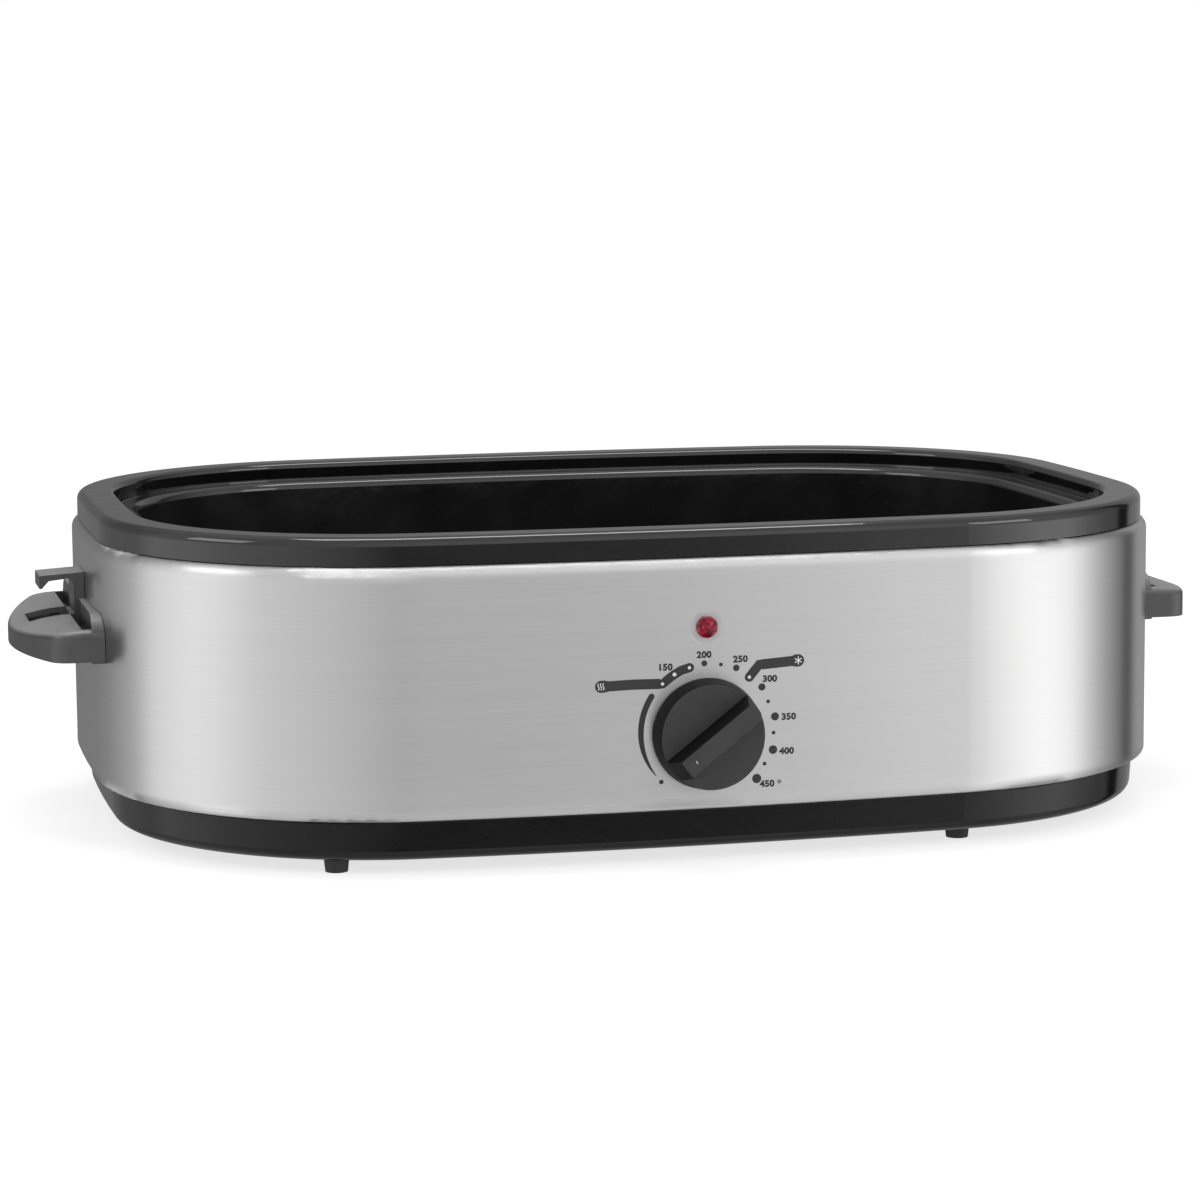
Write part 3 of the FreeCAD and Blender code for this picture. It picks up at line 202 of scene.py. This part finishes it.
class Tree:
    """Short calls for building one node tree."""

    def __init__(self, tree):
        self.tree = tree
        tree.nodes.clear()

    def add(self, kind, **settings):
        node = self.tree.nodes.new(kind)
        for name, value in settings.items():
            setattr(node, name, value)
        return node

    def link(self, source, target):
        self.tree.links.new(source, target)

    def place(self, stretch=(1.0, 1.0, 1.0)):
        """Coordinates of the surface point, in metres times stretch."""
        source = self.add("ShaderNodeTexCoord")
        mapping = self.add("ShaderNodeMapping")
        mapping.inputs["Scale"].default_value = stretch
        self.link(source.outputs["Object"], mapping.inputs["Vector"])
        return mapping.outputs["Vector"]

    def noise(self, scale, detail=2.0, stretch=(1.0, 1.0, 1.0)):
        node = self.add("ShaderNodeTexNoise")
        node.inputs["Scale"].default_value = scale
        node.inputs["Detail"].default_value = detail
        self.link(self.place(stretch), node.inputs["Vector"])
        return node.outputs["Fac"]

    def ramp(self, value, stops):
        """Colour or grey level by value."""
        node = self.add("ShaderNodeValToRGB")
        elements = node.color_ramp.elements
        while len(elements) < len(stops):
            elements.new(1.0)
        for element, (position, colour) in zip(elements, stops):
            element.position = position
            if not isinstance(colour, tuple):
                colour = (colour, colour, colour)
            element.color = (*colour, 1.0)
        self.link(value, node.inputs["Fac"])
        return node.outputs["Color"]

    def rise(self, value, low, high, start=0.3, end=0.7):
        """Low up to start, high from end, and a straight change between them."""
        return self.ramp(value, [(start, low), (end, high)])

    def math(self, operation, first, second=None):
        node = self.add("ShaderNodeMath", operation=operation)
        for index, value in enumerate((first, second)):
            if value is None:
                continue
            if isinstance(value, (int, float)):
                node.inputs[index].default_value = value
            else:
                self.link(value, node.inputs[index])
        return node.outputs["Value"]

    def mix(self, factor, first, second):
        """Blend of two colours."""
        node = self.add("ShaderNodeMix", data_type="RGBA")
        for index, value in zip(MIX_INPUTS, (factor, first, second)):
            socket = node.inputs[index]
            if isinstance(value, tuple):
                socket.default_value = (*value, 1.0)
            else:
                self.link(value, socket)
        return node.outputs[MIX_RESULT]

    def bump(self, height, distance, strength=1.0, under=None):
        """Normal that follows height, on top of the normal under."""
        node = self.add("ShaderNodeBump")
        node.inputs["Strength"].default_value = strength
        node.inputs["Distance"].default_value = distance
        self.link(height, node.inputs["Height"])
        if under is not None:
            self.link(under, node.inputs["Normal"])
        return node.outputs["Normal"]

    def rounded(self, radius):
        """Normal that turns softly over edges and seams."""
        node = self.add("ShaderNodeBevel", samples=4)
        node.inputs["Radius"].default_value = radius
        return node.outputs["Normal"]

    def facing(self):
        """The surface's own normal, by axis."""
        split = self.add("ShaderNodeSeparateXYZ")
        self.link(self.add("ShaderNodeTexCoord").outputs["Normal"], split.inputs["Vector"])
        return split.outputs


def surface(name, metallic=0.0, **fixed):
    """A new material with its tree, its shader and the numbers that are the same all over it."""
    material = bpy.data.materials.new(name)
    material.use_nodes = True
    tree = Tree(material.node_tree)
    shader = tree.add("ShaderNodeBsdfPrincipled")
    shader.inputs["Metallic"].default_value = metallic
    for socket, value in fixed.items():
        shader.inputs[socket.replace("_", " ")].default_value = value
    output = tree.add("ShaderNodeOutputMaterial")
    tree.link(shader.outputs["BSDF"], output.inputs["Surface"])
    return material, tree, shader


def finish(tree, shader, colour, rough, normal):
    """Joins a surface's colour, roughness and normal to its shader."""
    tree.link(colour, shader.inputs["Base Color"])
    tree.link(rough, shader.inputs["Roughness"])
    tree.link(normal, shader.inputs["Normal"])


def brushed_steel():
    """Stainless wrap with fine brushing that runs level round the body."""
    material, tree, shader = surface(
        "brushed_wrap", metallic=1.0, Anisotropic=0.72, Anisotropic_Rotation=0.25
    )
    fine = tree.noise(1.0, detail=3.0, stretch=(14.0, 14.0, 3200.0))
    long = tree.noise(1.0, stretch=(5.0, 5.0, 1100.0))
    broad = tree.noise(3.0)
    lines = tree.math("ADD", tree.math("MULTIPLY", fine, 0.6), tree.math("MULTIPLY", long, 0.4))
    brushing = tree.rise(lines, (0.600, 0.600, 0.600), (0.650, 0.650, 0.648))
    patches = tree.rise(broad, 0.0, 0.3, start=0.35, end=0.75)
    colour = tree.mix(patches, brushing, (0.612, 0.612, 0.61))
    rough = tree.rise(lines, 0.275, 0.315, start=0.25, end=0.75)
    normal = tree.bump(fine, distance=FINE_RELIEF / 2, strength=0.3, under=tree.rounded(6.0 * MM))
    finish(tree, shader, colour, rough, normal)
    tangent = tree.add("ShaderNodeTangent", direction_type="RADIAL", axis="Z")
    tree.link(tangent.outputs["Tangent"], shader.inputs["Tangent"])
    return material


def enamel(name, deep, light, rough, ripple, refraction):
    """Black porcelain enamel: glossy, slightly rippled, with fine mottling."""
    material, tree, shader = surface(name, IOR=refraction)
    ripples = tree.noise(95.0)
    peel = tree.noise(420.0)
    specks = tree.noise(2600.0, detail=1.0)
    clouds = tree.noise(24.0, detail=3.0)
    flecks = tree.rise(specks, 0.0, 0.6, start=0.66, end=0.78)
    colour = tree.mix(flecks, tree.rise(clouds, deep, light, start=0.35), (0.05, 0.05, 0.052))
    gloss = tree.rise(clouds, rough * 0.8, rough * 1.5, end=0.75)
    normal = tree.bump(peel, distance=FINE_RELIEF, strength=0.6, under=tree.bump(ripples, ripple))
    finish(tree, shader, colour, gloss, normal)
    return material


def knob_plastic():
    """Black moulded knob: fine spark grain on the open faces, with painted shade that darkens the sides.
    """
    material, tree, shader = surface("knob_plastic", IOR=1.5, Specular_IOR_Level=0.14)
    # Painted shade: how squarely a face points ahead picks between the lit face colour and the painted
    # shade of the side walls
    facing_for_painted_shade = tree.math("ABSOLUTE", tree.facing()["Y"])
    share = tree.rise(facing_for_painted_shade, 0.0, 1.0, start=0.55, end=0.9)
    mottle = tree.noise(160.0, detail=3.0)
    spark = tree.noise(3800.0)
    faces = tree.rise(mottle, 0.04371, 0.05029)
    # Painted shade: the side walls get a colour about twenty times darker than the front faces, for the
    # shade on them
    walls = tree.rise(mottle, 0.0018, 0.0022)
    rough = tree.rise(spark, 0.495, 0.616)
    normal = tree.bump(spark, distance=FINE_RELIEF, strength=0.7, under=tree.rounded(0.4 * MM))
    finish(tree, shader, tree.mix(share, walls, faces), rough, normal)
    return material


def handle_plastic():
    """Black moulded handles: satin, with a painted highlight that lightens the upward faces and painted
    shade that darkens the side walls.
    """
    material, tree, shader = surface("handle_plastic", IOR=1.5)
    facing = tree.facing()
    # Painted highlight: faces that point up get a colour several times lighter, for the light falling on
    # them from above
    painted_highlight_up_mask = tree.rise(facing["Z"], 0.0, 1.0, start=0.35, end=0.9)
    front = tree.rise(tree.math("ABSOLUTE", facing["Y"]), 0.0, 1.0, end=0.8)
    mottle = tree.noise(120.0, detail=3.0)
    spark = tree.noise(3400.0)
    # Painted shade: side walls get a colour darker than the front faces, for the shade on them
    walls = tree.rise(mottle, 0.022, 0.030)
    faces = tree.rise(mottle, 0.056, 0.070)
    painted_highlight_up_faces = tree.rise(mottle, 0.215, 0.250)
    rough = tree.rise(spark, 0.30, 0.38)
    normal = tree.bump(spark, distance=FINE_RELIEF, strength=0.7, under=tree.rounded(0.5 * MM))
    finish(tree, shader, tree.mix(painted_highlight_up_mask, tree.mix(front, walls, faces), painted_highlight_up_faces), rough, normal)
    return material


def plain_plastic(name, colour, rough, edge=0.3 * MM, fineness=1.0):
    """Moulded plastic with one tone, a fine grain and slight unevenness."""
    material, tree, shader = surface(name, IOR=1.5)
    mottle = tree.noise(120.0 * fineness, detail=3.0)
    spark = tree.noise(3400.0 * fineness)
    low = tuple(c * 0.9 for c in colour)
    high = tuple(c * 1.1 for c in colour)
    gloss = tree.rise(spark, rough * 0.88, rough * 1.12)
    normal = tree.bump(spark, distance=FINE_RELIEF, strength=0.7, under=tree.rounded(edge))
    finish(tree, shader, tree.rise(mottle, low, high), gloss, normal)
    return material


def metal(name, low, high, rough, stretch=(1.0, 1.0, 1.0)):
    """Bare or plated metal with a drawn or rolled grain and slight stains."""
    material, tree, shader = surface(name, metallic=1.0)
    grain = tree.noise(260.0, detail=4.0, stretch=stretch)
    stains = tree.noise(30.0, detail=3.0)
    dull = tuple(c * 0.8 for c in low)
    stained = tree.rise(stains, 0.0, 0.4, start=0.5, end=0.8)
    colour = tree.mix(stained, tree.rise(grain, low, high), dull)
    gloss = tree.rise(stains, rough * 0.8, rough * 1.3, end=0.8)
    finish(tree, shader, colour, gloss, tree.bump(grain, distance=FINE_RELIEF, strength=0.6))
    return material


def threads(tree, direction, scale, distortion, stretch=(1.0, 1.0, 1.0)):
    """Waves that stand for the threads of a weave in one direction."""
    wave = tree.add("ShaderNodeTexWave", bands_direction=direction)
    wave.inputs["Scale"].default_value = scale
    wave.inputs["Distortion"].default_value = distortion
    tree.link(tree.place(stretch), wave.inputs["Vector"])
    return wave.outputs["Fac"]


def glass_fibre():
    """Woven glass fibre blanket, off-white."""
    material, tree, shader = surface("glass_blanket", Sheen_Weight=0.35)
    warp = threads(tree, "Z", 190.0, 1.2)
    weft = threads(tree, "DIAGONAL", 150.0, 1.4, stretch=(1.0, 1.0, 0.05))
    weave = tree.math("MULTIPLY", warp, weft)
    colour = tree.rise(weave, (0.50, 0.49, 0.45), (0.78, 0.77, 0.72), start=0.1, end=0.8)
    rough = tree.rise(tree.noise(60.0), 0.75, 0.9)
    finish(tree, shader, colour, rough, tree.bump(weave, distance=0.4 * MM, strength=0.8))
    return material


def red_lens():
    """Red pilot lens with prisms moulded behind its polished dome."""
    material, tree, shader = surface(
        "red_lens", IOR=1.5, Coat_Weight=0.3, Coat_Roughness=0.04, Specular_IOR_Level=0.16
    )
    cells = tree.add("ShaderNodeTexVoronoi", distance="CHEBYCHEV")
    cells.inputs["Scale"].default_value = 640.0
    cells.inputs["Randomness"].default_value = 0.45
    tree.link(tree.place(), cells.inputs["Vector"])
    tone = tree.add("ShaderNodeSeparateColor")
    tree.link(cells.outputs["Color"], tone.inputs["Color"])
    reds = [
        (0.0, (0.06, 0.0, 0.004)),
        (0.4, (0.16, 0.001, 0.010)),
        (0.75, (0.32, 0.003, 0.020)),
        (1.0, (0.52, 0.03, 0.06)),
    ]
    depth = cells.outputs["Distance"]
    rough = tree.rise(depth, 0.08, 0.28, start=0.0, end=0.8)
    normal = tree.bump(depth, distance=0.1 * MM, strength=0.2)
    finish(tree, shader, tree.ramp(tone.outputs["Red"], reds), rough, normal)
    return material


def printed_ink(name, low, high):
    """Screen-printed ink with slightly uneven cover."""
    material, tree, shader = surface(name, IOR=1.45)
    cover = tree.noise(1500.0, detail=3.0)
    rough = tree.rise(cover, 0.5, 0.62)
    normal = tree.bump(cover, distance=FINE_RELIEF / 2, strength=0.5)
    finish(tree, shader, tree.rise(cover, low, high), rough, normal)
    return material


def rubber():
    """Black rubber with a dull bloom."""
    material, tree, shader = surface("foot_rubber", IOR=1.48)
    bloom = tree.noise(420.0, detail=4.0)
    colour = tree.rise(bloom, 0.012, 0.028, end=0.75)
    rough = tree.rise(bloom, 0.55, 0.72)
    normal = tree.bump(bloom, distance=0.05 * MM, strength=0.6, under=tree.rounded(0.4 * MM))
    finish(tree, shader, colour, rough, normal)
    return material


materials = {
    "brushed_wrap": brushed_steel(),
    "black_base": enamel("black_base", 0.003, 0.005, 0.07, 0.03 * MM, 1.36),
    "black_enamel": enamel("black_enamel", 0.004, 0.007, 0.055, 0.11 * MM, 1.62),
    "pan_enamel": enamel("pan_enamel", 0.006, 0.012, 0.09, 0.16 * MM, 1.60),
    "bright_tray": metal("bright_tray", (0.62, 0.62, 0.61), (0.78, 0.78, 0.77), 0.22, (1.0, 14.0, 1.0)),
    "heater_ribbon": metal("heater_ribbon", (0.36, 0.33, 0.30), (0.52, 0.48, 0.44), 0.42, (1.0, 1.0, 9.0)),
    "glass_blanket": glass_fibre(),
    "plated_steel": metal("plated_steel", (0.58, 0.58, 0.56), (0.72, 0.72, 0.70), 0.26),
    "foot_rubber": rubber(),
    "brass_parts": metal("brass_parts", (0.66, 0.48, 0.20), (0.80, 0.60, 0.28), 0.28, (1.0, 8.0, 1.0)),
    "copper_tube": metal("copper_tube", (0.62, 0.30, 0.18), (0.78, 0.40, 0.26), 0.30),
    "switch_body": plain_plastic("switch_body", (0.42, 0.30, 0.18), 0.5),
    "knob_plastic": knob_plastic(),
    "handle_plastic": handle_plastic(),
    "inlet_plastic": plain_plastic("inlet_plastic", (0.020, 0.020, 0.021), 0.42),
    "red_lens": red_lens(),
    "lamp_plastic": plain_plastic("lamp_plastic", (0.70, 0.69, 0.66), 0.45),
    "lead_sleeve": plain_plastic("lead_sleeve", (0.66, 0.62, 0.54), 0.7, edge=0.2 * MM, fineness=2.0),
}
dark_ink = printed_ink("dial_ink", (0.020, 0.020, 0.021), (0.032, 0.032, 0.034))
white_ink = printed_ink("dial_white", (0.62, 0.62, 0.62), (0.74, 0.74, 0.73))

# What a print is made of: its material, its slot and how far it stands off the steel
DARK = (dark_ink, "knob_plastic", PRINT_PROUD)
LIGHT = (white_ink, "lamp_plastic", SIGN_PROUD)

for part in frame["record"]["subparts"]:
    mesh = nodes[part["node"]].data
    mesh.materials.clear()
    mesh.materials.append(materials[part["material_slot"]])

wrap = nodes["outer_shell"].data
wrap_tree = BVHTree.FromPolygons(
    [v.co.copy() for v in wrap.vertices], [tuple(p.vertices) for p in wrap.polygons]
)


def wrap_front(x, z):
    """y of the wrap's outer face in front, at x and z."""
    return wrap_tree.ray_cast(Vector((x, RAY_START, z)), Vector((0.0, 1.0, 0.0)))[0].y


def add_piece(name, mesh, body, material):
    """Puts a finished piece in the scene, on its body and with its finish."""
    piece = bpy.data.objects.new(name, mesh)
    bpy.context.scene.collection.objects.link(piece)
    mesh.materials.clear()
    mesh.materials.append(material)
    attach(piece, body)


def on_dial(x, z):
    """Point of the model for a place on the dial, before it is laid on the steel."""
    return (x * MM, 0.0, (z + DIAL_BASE) * MM)


def print_mesh(name, flat, ink, lift=0.0):
    """Closes a flat mesh of (x, z) faces into a thin layer on the wrap."""
    material, slot, proud = ink
    made = bmesh.ops.extrude_face_region(flat, geom=flat.faces[:])
    back = {v for v in made["geom"] if isinstance(v, bmesh.types.BMVert)}
    for vertex in flat.verts:
        y = wrap_front(vertex.co.x, vertex.co.z)
        vertex.co.y = y + PRINT_DEPTH if vertex in back else y - (proud + lift)
    bmesh.ops.recalc_face_normals(flat, faces=flat.faces[:])
    mesh = bpy.data.meshes.new(name)
    flat.to_mesh(mesh)
    flat.free()
    add_piece(name, mesh, "oven", material)


def print_dot(name, x, z, diameter, corners, ink):
    """A round dot."""
    flat = bmesh.new()
    loop = []
    for index in range(corners):
        angle = FULL_TURN * index / corners
        across, up = diameter / 2 * math.cos(angle), diameter / 2 * math.sin(angle)
        loop.append(flat.verts.new(on_dial(x + across, z + up)))
    flat.faces.new(loop)
    bmesh.ops.triangulate(flat, faces=flat.faces[:])
    print_mesh(name, flat, ink)


def print_band(name, path, widths, ink, lift=0.0, closed=False):
    """A stroke along a path with rounded ends, or a closed ring, in strips across the path."""
    flat = bmesh.new()
    count = len(path)
    pairs = []
    for index, (x, z) in enumerate(path):
        if closed:
            ahead, behind = path[(index + 1) % count], path[index - 1]
        else:
            ahead, behind = path[min(index + 1, count - 1)], path[max(index - 1, 0)]
        dx, dz = ahead[0] - behind[0], ahead[1] - behind[1]
        length = math.hypot(dx, dz)
        half = widths[index] / 2
        across_x, across_z = -dz / length * half, dx / length * half
        one = flat.verts.new(on_dial(x + across_x, z + across_z))
        other = flat.verts.new(on_dial(x - across_x, z - across_z))
        pairs.append((one, other))
    for index in range(count if closed else count - 1):
        (a, b), (c, d) = pairs[index], pairs[(index + 1) % count]
        flat.faces.new((a, c, d, b))
    if not closed:
        for at, towards in ((-1, -2), (0, 1)):
            x, z = path[at]
            start = math.atan2(z - path[towards][1], x - path[towards][0])
            first, last = pairs[at] if at == -1 else pairs[at][::-1]
            half = widths[at] / 2
            cap = [first]
            for step in range(1, CAP_STEPS):
                angle = start + math.pi / 2 - math.pi * step / CAP_STEPS
                reach_x, reach_z = half * math.cos(angle), half * math.sin(angle)
                cap.append(flat.verts.new(on_dial(x + reach_x, z + reach_z)))
            cap.append(last)
            flat.faces.new(cap)
    bmesh.ops.triangulate(flat, faces=flat.faces[:])
    print_mesh(name, flat, ink, lift)


def along(points, step=2.0):
    """The same polyline with points no further apart than step."""
    path = [points[0]]
    for (x0, z0), (x1, z1) in zip(points, points[1:]):
        pieces = max(1, math.ceil(math.hypot(x1 - x0, z1 - z0) / step))
        for piece in range(1, pieces + 1):
            share = piece / pieces
            path.append((x0 + (x1 - x0) * share, z0 + (z1 - z0) * share))
    return path


def arc_path(centre, radius, start, end, count):
    """Points along an arc, angles in degrees."""
    points = []
    for index in range(count):
        angle = math.radians(start + (end - start) * index / (count - 1))
        points.append((centre[0] + radius * math.cos(angle), centre[1] + radius * math.sin(angle)))
    return points


def print_number(label, x, z):
    """A number of the scale with its middle at x and z."""
    curve = bpy.data.curves.new("dial_number_" + label, "FONT")
    curve.body = label
    curve.offset = DIGIT_BOLDNESS
    curve.space_character = DIGIT_SPACING
    curve.resolution_u = DIGIT_SMOOTHNESS
    text = bpy.data.objects.new("dial_number_" + label, curve)
    bpy.context.scene.collection.objects.link(text)
    bpy.context.view_layer.update()
    drawn = bpy.data.meshes.new_from_object(text.evaluated_get(bpy.context.evaluated_depsgraph_get()))
    bpy.data.objects.remove(text)
    xs = [v.co.x for v in drawn.vertices]
    ys = [v.co.y for v in drawn.vertices]
    size = DIGIT_HEIGHT / (max(ys) - min(ys))
    middle_x = (max(xs) + min(xs)) / 2
    middle_y = (max(ys) + min(ys)) / 2
    for v in drawn.vertices:
        across = (v.co.x - middle_x) * size * DIGIT_WIDENING + x
        up = (v.co.y - middle_y) * size + z
        v.co = Vector(on_dial(across, up))
    flat = bmesh.new()
    flat.from_mesh(drawn)
    bmesh.ops.remove_doubles(flat, verts=flat.verts[:], dist=SAME_POINT)
    print_mesh("dial_number_" + label, flat, DARK)


def left_width(x):
    """Width of the left flag's stroke at x."""
    if x < LEFT_BLOB_END:
        return LEFT_BLOB
    return LEFT_BAR if x < LEFT_BAR_END else LEFT_BEND


def right_width(x):
    """Width of the right flag's stroke at x."""
    if x > RIGHT_BAR_END:
        return RIGHT_BLOB
    return RIGHT_BAR if x > RIGHT_BEND_END else RIGHT_BEND


def print_dial():
    """Scale, flags, signs and crescent round the knob."""
    for label, x, z, diameter in DOTS:
        print_dot("dial_dot_" + label, x, z, diameter, DOT_CORNERS, DARK)
    for label, x, z in NUMBERS:
        print_number(label, x, z)
    last_angle = 360.0 - 360.0 / DEGREE_CORNERS
    degree = arc_path(DEGREE_CENTRE, DEGREE_RADIUS, 0.0, last_angle, DEGREE_CORNERS)
    print_band("dial_degree_mark", degree, [DEGREE_STROKE] * DEGREE_CORNERS, DARK, closed=True)
    flags = [("flag_left", FLAG_LEFT, left_width), ("flag_right", FLAG_RIGHT, right_width)]
    for name, points, width in flags:
        path = along(points)
        print_band(name, path, [width(x) for x, z in path], DARK)
    for index, (x, z, diameter) in enumerate(FLAG_DOTS):
        print_dot("flag_dot_" + str(index), x, z, diameter, FLAG_DOT_CORNERS, LIGHT)
    for index in range(WAVES):
        wave = []
        for step in range(WAVE_STEPS + 1):
            share = step / WAVE_STEPS
            x = WAVE_START[0] + index * WAVE_SPACING + WAVE_SWING * math.sin(share * FULL_TURN)
            wave.append((x, WAVE_START[1] + WAVE_HEIGHT * share))
        print_band("flag_wave_" + str(index), wave, [WAVE_STROKE] * len(wave), LIGHT)
    for index in range(STAR_STROKES):
        angle = math.radians(90 + 180 / STAR_STROKES * index)
        reach_x, reach_z = STAR_REACH * math.cos(angle), STAR_REACH * math.sin(angle)
        arm = [(STAR_CENTRE[0] + reach_x * side, STAR_CENTRE[1] + reach_z * side) for side in (-1, 0, 1)]
        # The arms cross, so each stands a little prouder than the last
        lift = index * STAR_LIFT
        print_band("flag_star_" + str(index), arm, [STAR_STROKE] * len(arm), LIGHT, lift)
    crescent = arc_path(CRESCENT_CENTRE, CRESCENT_RADIUS, CRESCENT_START, CRESCENT_END, CRESCENT_POINTS)
    taper = []
    for index in range(CRESCENT_POINTS):
        left = 1.0 - index / (CRESCENT_POINTS - 1)
        taper.append(CRESCENT_TIP + CRESCENT_GAIN * (1.0 - left**CRESCENT_TAPER))
    print_band("dial_crescent", crescent, taper, DARK)


def make_pointer_arc(name, ring_radius, tube_radius, start, end, material):
    """Raised arc on the knob's grip at the pointer that marks its setting; a ring when it goes all round.
    The part arc in white ink is a painted highlight.
    """
    around, across = POINTER_STEPS_AROUND, POINTER_STEPS_ACROSS
    closed = end - start >= 360.0
    build = bmesh.new()
    loops = []
    for index in range(around):
        angle = math.radians(start + (end - start) * index / (around if closed else around - 1))
        loop = []
        for step in range(across):
            turn = FULL_TURN * step / across
            reach = ring_radius + tube_radius * math.cos(turn)
            y = KNOB_FRONT + tube_radius * (1.0 + math.sin(turn))
            place = (POINTER_X + reach * math.cos(angle), y, POINTER_Z + reach * math.sin(angle))
            loop.append(build.verts.new(place))
        loops.append(loop)
    for index in range(around if closed else around - 1):
        here, there = loops[index], loops[(index + 1) % around]
        for step in range(across):
            after = (step + 1) % across
            build.faces.new((here[step], there[step], there[after], here[after]))
    if not closed:
        build.faces.new(loops[0])
        build.faces.new(loops[-1][::-1])
    bmesh.ops.recalc_face_normals(build, faces=build.faces[:])
    for face in build.faces:
        face.smooth = True
    mesh = bpy.data.meshes.new(name)
    build.to_mesh(mesh)
    build.free()
    add_piece(name, mesh, "knob", material)


def studio_ramp(tree, turn, levels):
    """Brightness by the share of a full turn round the oven."""
    return tree.ramp(turn, [((degrees + 180) / 360, level / LEVEL_SCALE) for degrees, level in levels])


def make_world():
    """Studio walls: bright panels to the left and right of the camera, greyer behind it."""
    world = bpy.data.worlds.new("studio")
    bpy.context.scene.world = world
    world.use_nodes = True
    tree = Tree(world.node_tree)
    split = tree.add("ShaderNodeSeparateXYZ")
    source = tree.add("ShaderNodeTexCoord")
    tree.link(source.outputs["Generated"], split.inputs["Vector"])
    ahead = tree.math("MULTIPLY", split.outputs["Y"], -1.0)
    angle = tree.math("ARCTAN2", split.outputs["X"], ahead)
    turn = tree.math("ADD", tree.math("DIVIDE", angle, FULL_TURN), 0.5)
    walls = studio_ramp(tree, turn, WALL_LEVELS)
    table = studio_ramp(tree, turn, TABLE_LEVELS)
    upward = tree.math("ADD", tree.math("DIVIDE", split.outputs["Z"], 2.0), 0.5)
    walls = tree.mix(tree.ramp(upward, TABLE_BAND), walls, table)
    steepness = tree.math("ABSOLUTE", split.outputs["Z"])
    above = tree.rise(steepness, 0.0, 1.0, start=GREY_START, end=GREY_END)
    studio = tree.add("ShaderNodeBackground")
    studio.inputs["Strength"].default_value = LEVEL_SCALE
    tree.link(tree.mix(above, walls, STUDIO_GREY), studio.inputs["Color"])
    white = tree.add("ShaderNodeBackground")
    white.inputs["Color"].default_value = WHITE
    path = tree.add("ShaderNodeLightPath")
    seen = tree.add("ShaderNodeMixShader")
    tree.link(path.outputs["Is Camera Ray"], seen.inputs["Fac"])
    tree.link(studio.outputs["Background"], seen.inputs[1])
    tree.link(white.outputs["Background"], seen.inputs[2])
    output = tree.add("ShaderNodeOutputWorld")
    tree.link(seen.outputs["Shader"], output.inputs["Surface"])


def make_floor():
    """Pale floor that keeps the oven's shadow; metal and gloss see the studio walls instead."""
    mesh = bpy.data.meshes.new("floor")
    build = bmesh.new()
    bmesh.ops.create_circle(build, cap_ends=True, segments=FLOOR_CORNERS, radius=FLOOR_RADIUS)
    build.to_mesh(mesh)
    build.free()
    floor = bpy.data.objects.new("floor", mesh)
    bpy.context.scene.collection.objects.link(floor)
    material = bpy.data.materials.new("pale_floor")
    material.use_nodes = True
    tree = Tree(material.node_tree)
    paper = tree.add("ShaderNodeBsdfDiffuse")
    tree.link(tree.rise(tree.noise(40.0, detail=4.0), 0.93, 0.95), paper.inputs["Color"])
    white = tree.add("ShaderNodeEmission")
    white.inputs["Color"].default_value = WHITE
    white.inputs["Strength"].default_value = FLOOR_WHITE_STRENGTH
    path = tree.add("ShaderNodeLightPath")
    seen = tree.add("ShaderNodeMixShader")
    share = tree.math("MULTIPLY", path.outputs["Is Camera Ray"], FLOOR_WHITE_SHARE)
    tree.link(share, seen.inputs["Fac"])
    tree.link(paper.outputs["BSDF"], seen.inputs[1])
    tree.link(white.outputs["Emission"], seen.inputs[2])
    open_way = tree.add("ShaderNodeBsdfTransparent")
    final = tree.add("ShaderNodeMixShader")
    tree.link(path.outputs["Is Glossy Ray"], final.inputs["Fac"])
    tree.link(seen.outputs["Shader"], final.inputs[1])
    tree.link(open_way.outputs["BSDF"], final.inputs[2])
    output = tree.add("ShaderNodeOutputMaterial")
    tree.link(final.outputs["Shader"], output.inputs["Surface"])
    mesh.materials.append(material)


def make_lamp(name, place, aim, width, height, radiance):
    """A soft rectangular lamp with a given brightness of its face."""
    data = bpy.data.lights.new(name, "AREA")
    data.shape = "RECTANGLE"
    data.size = width
    data.size_y = height
    data.energy = radiance * math.pi * width * height
    lamp = bpy.data.objects.new(name, data)
    bpy.context.scene.collection.objects.link(lamp)
    lamp.location = place
    lamp.rotation_mode = "QUATERNION"
    lamp.rotation_quaternion = (Vector(aim) - Vector(place)).to_track_quat("-Z", "Y")


bpy.context.scene.view_settings.view_transform = "Standard"
print_dial()
make_camera()
make_pointer_arc("knob_pointer_ring", *POINTER_RING, materials["knob_plastic"])
# Painted highlight: a white arc standing for the glint inside the pointer dimple
make_pointer_arc("knob_pointer_painted_glint", *POINTER_PAINTED_GLINT, white_ink)
make_world()
make_floor()
for lamp in LAMPS:
    make_lamp(*lamp)
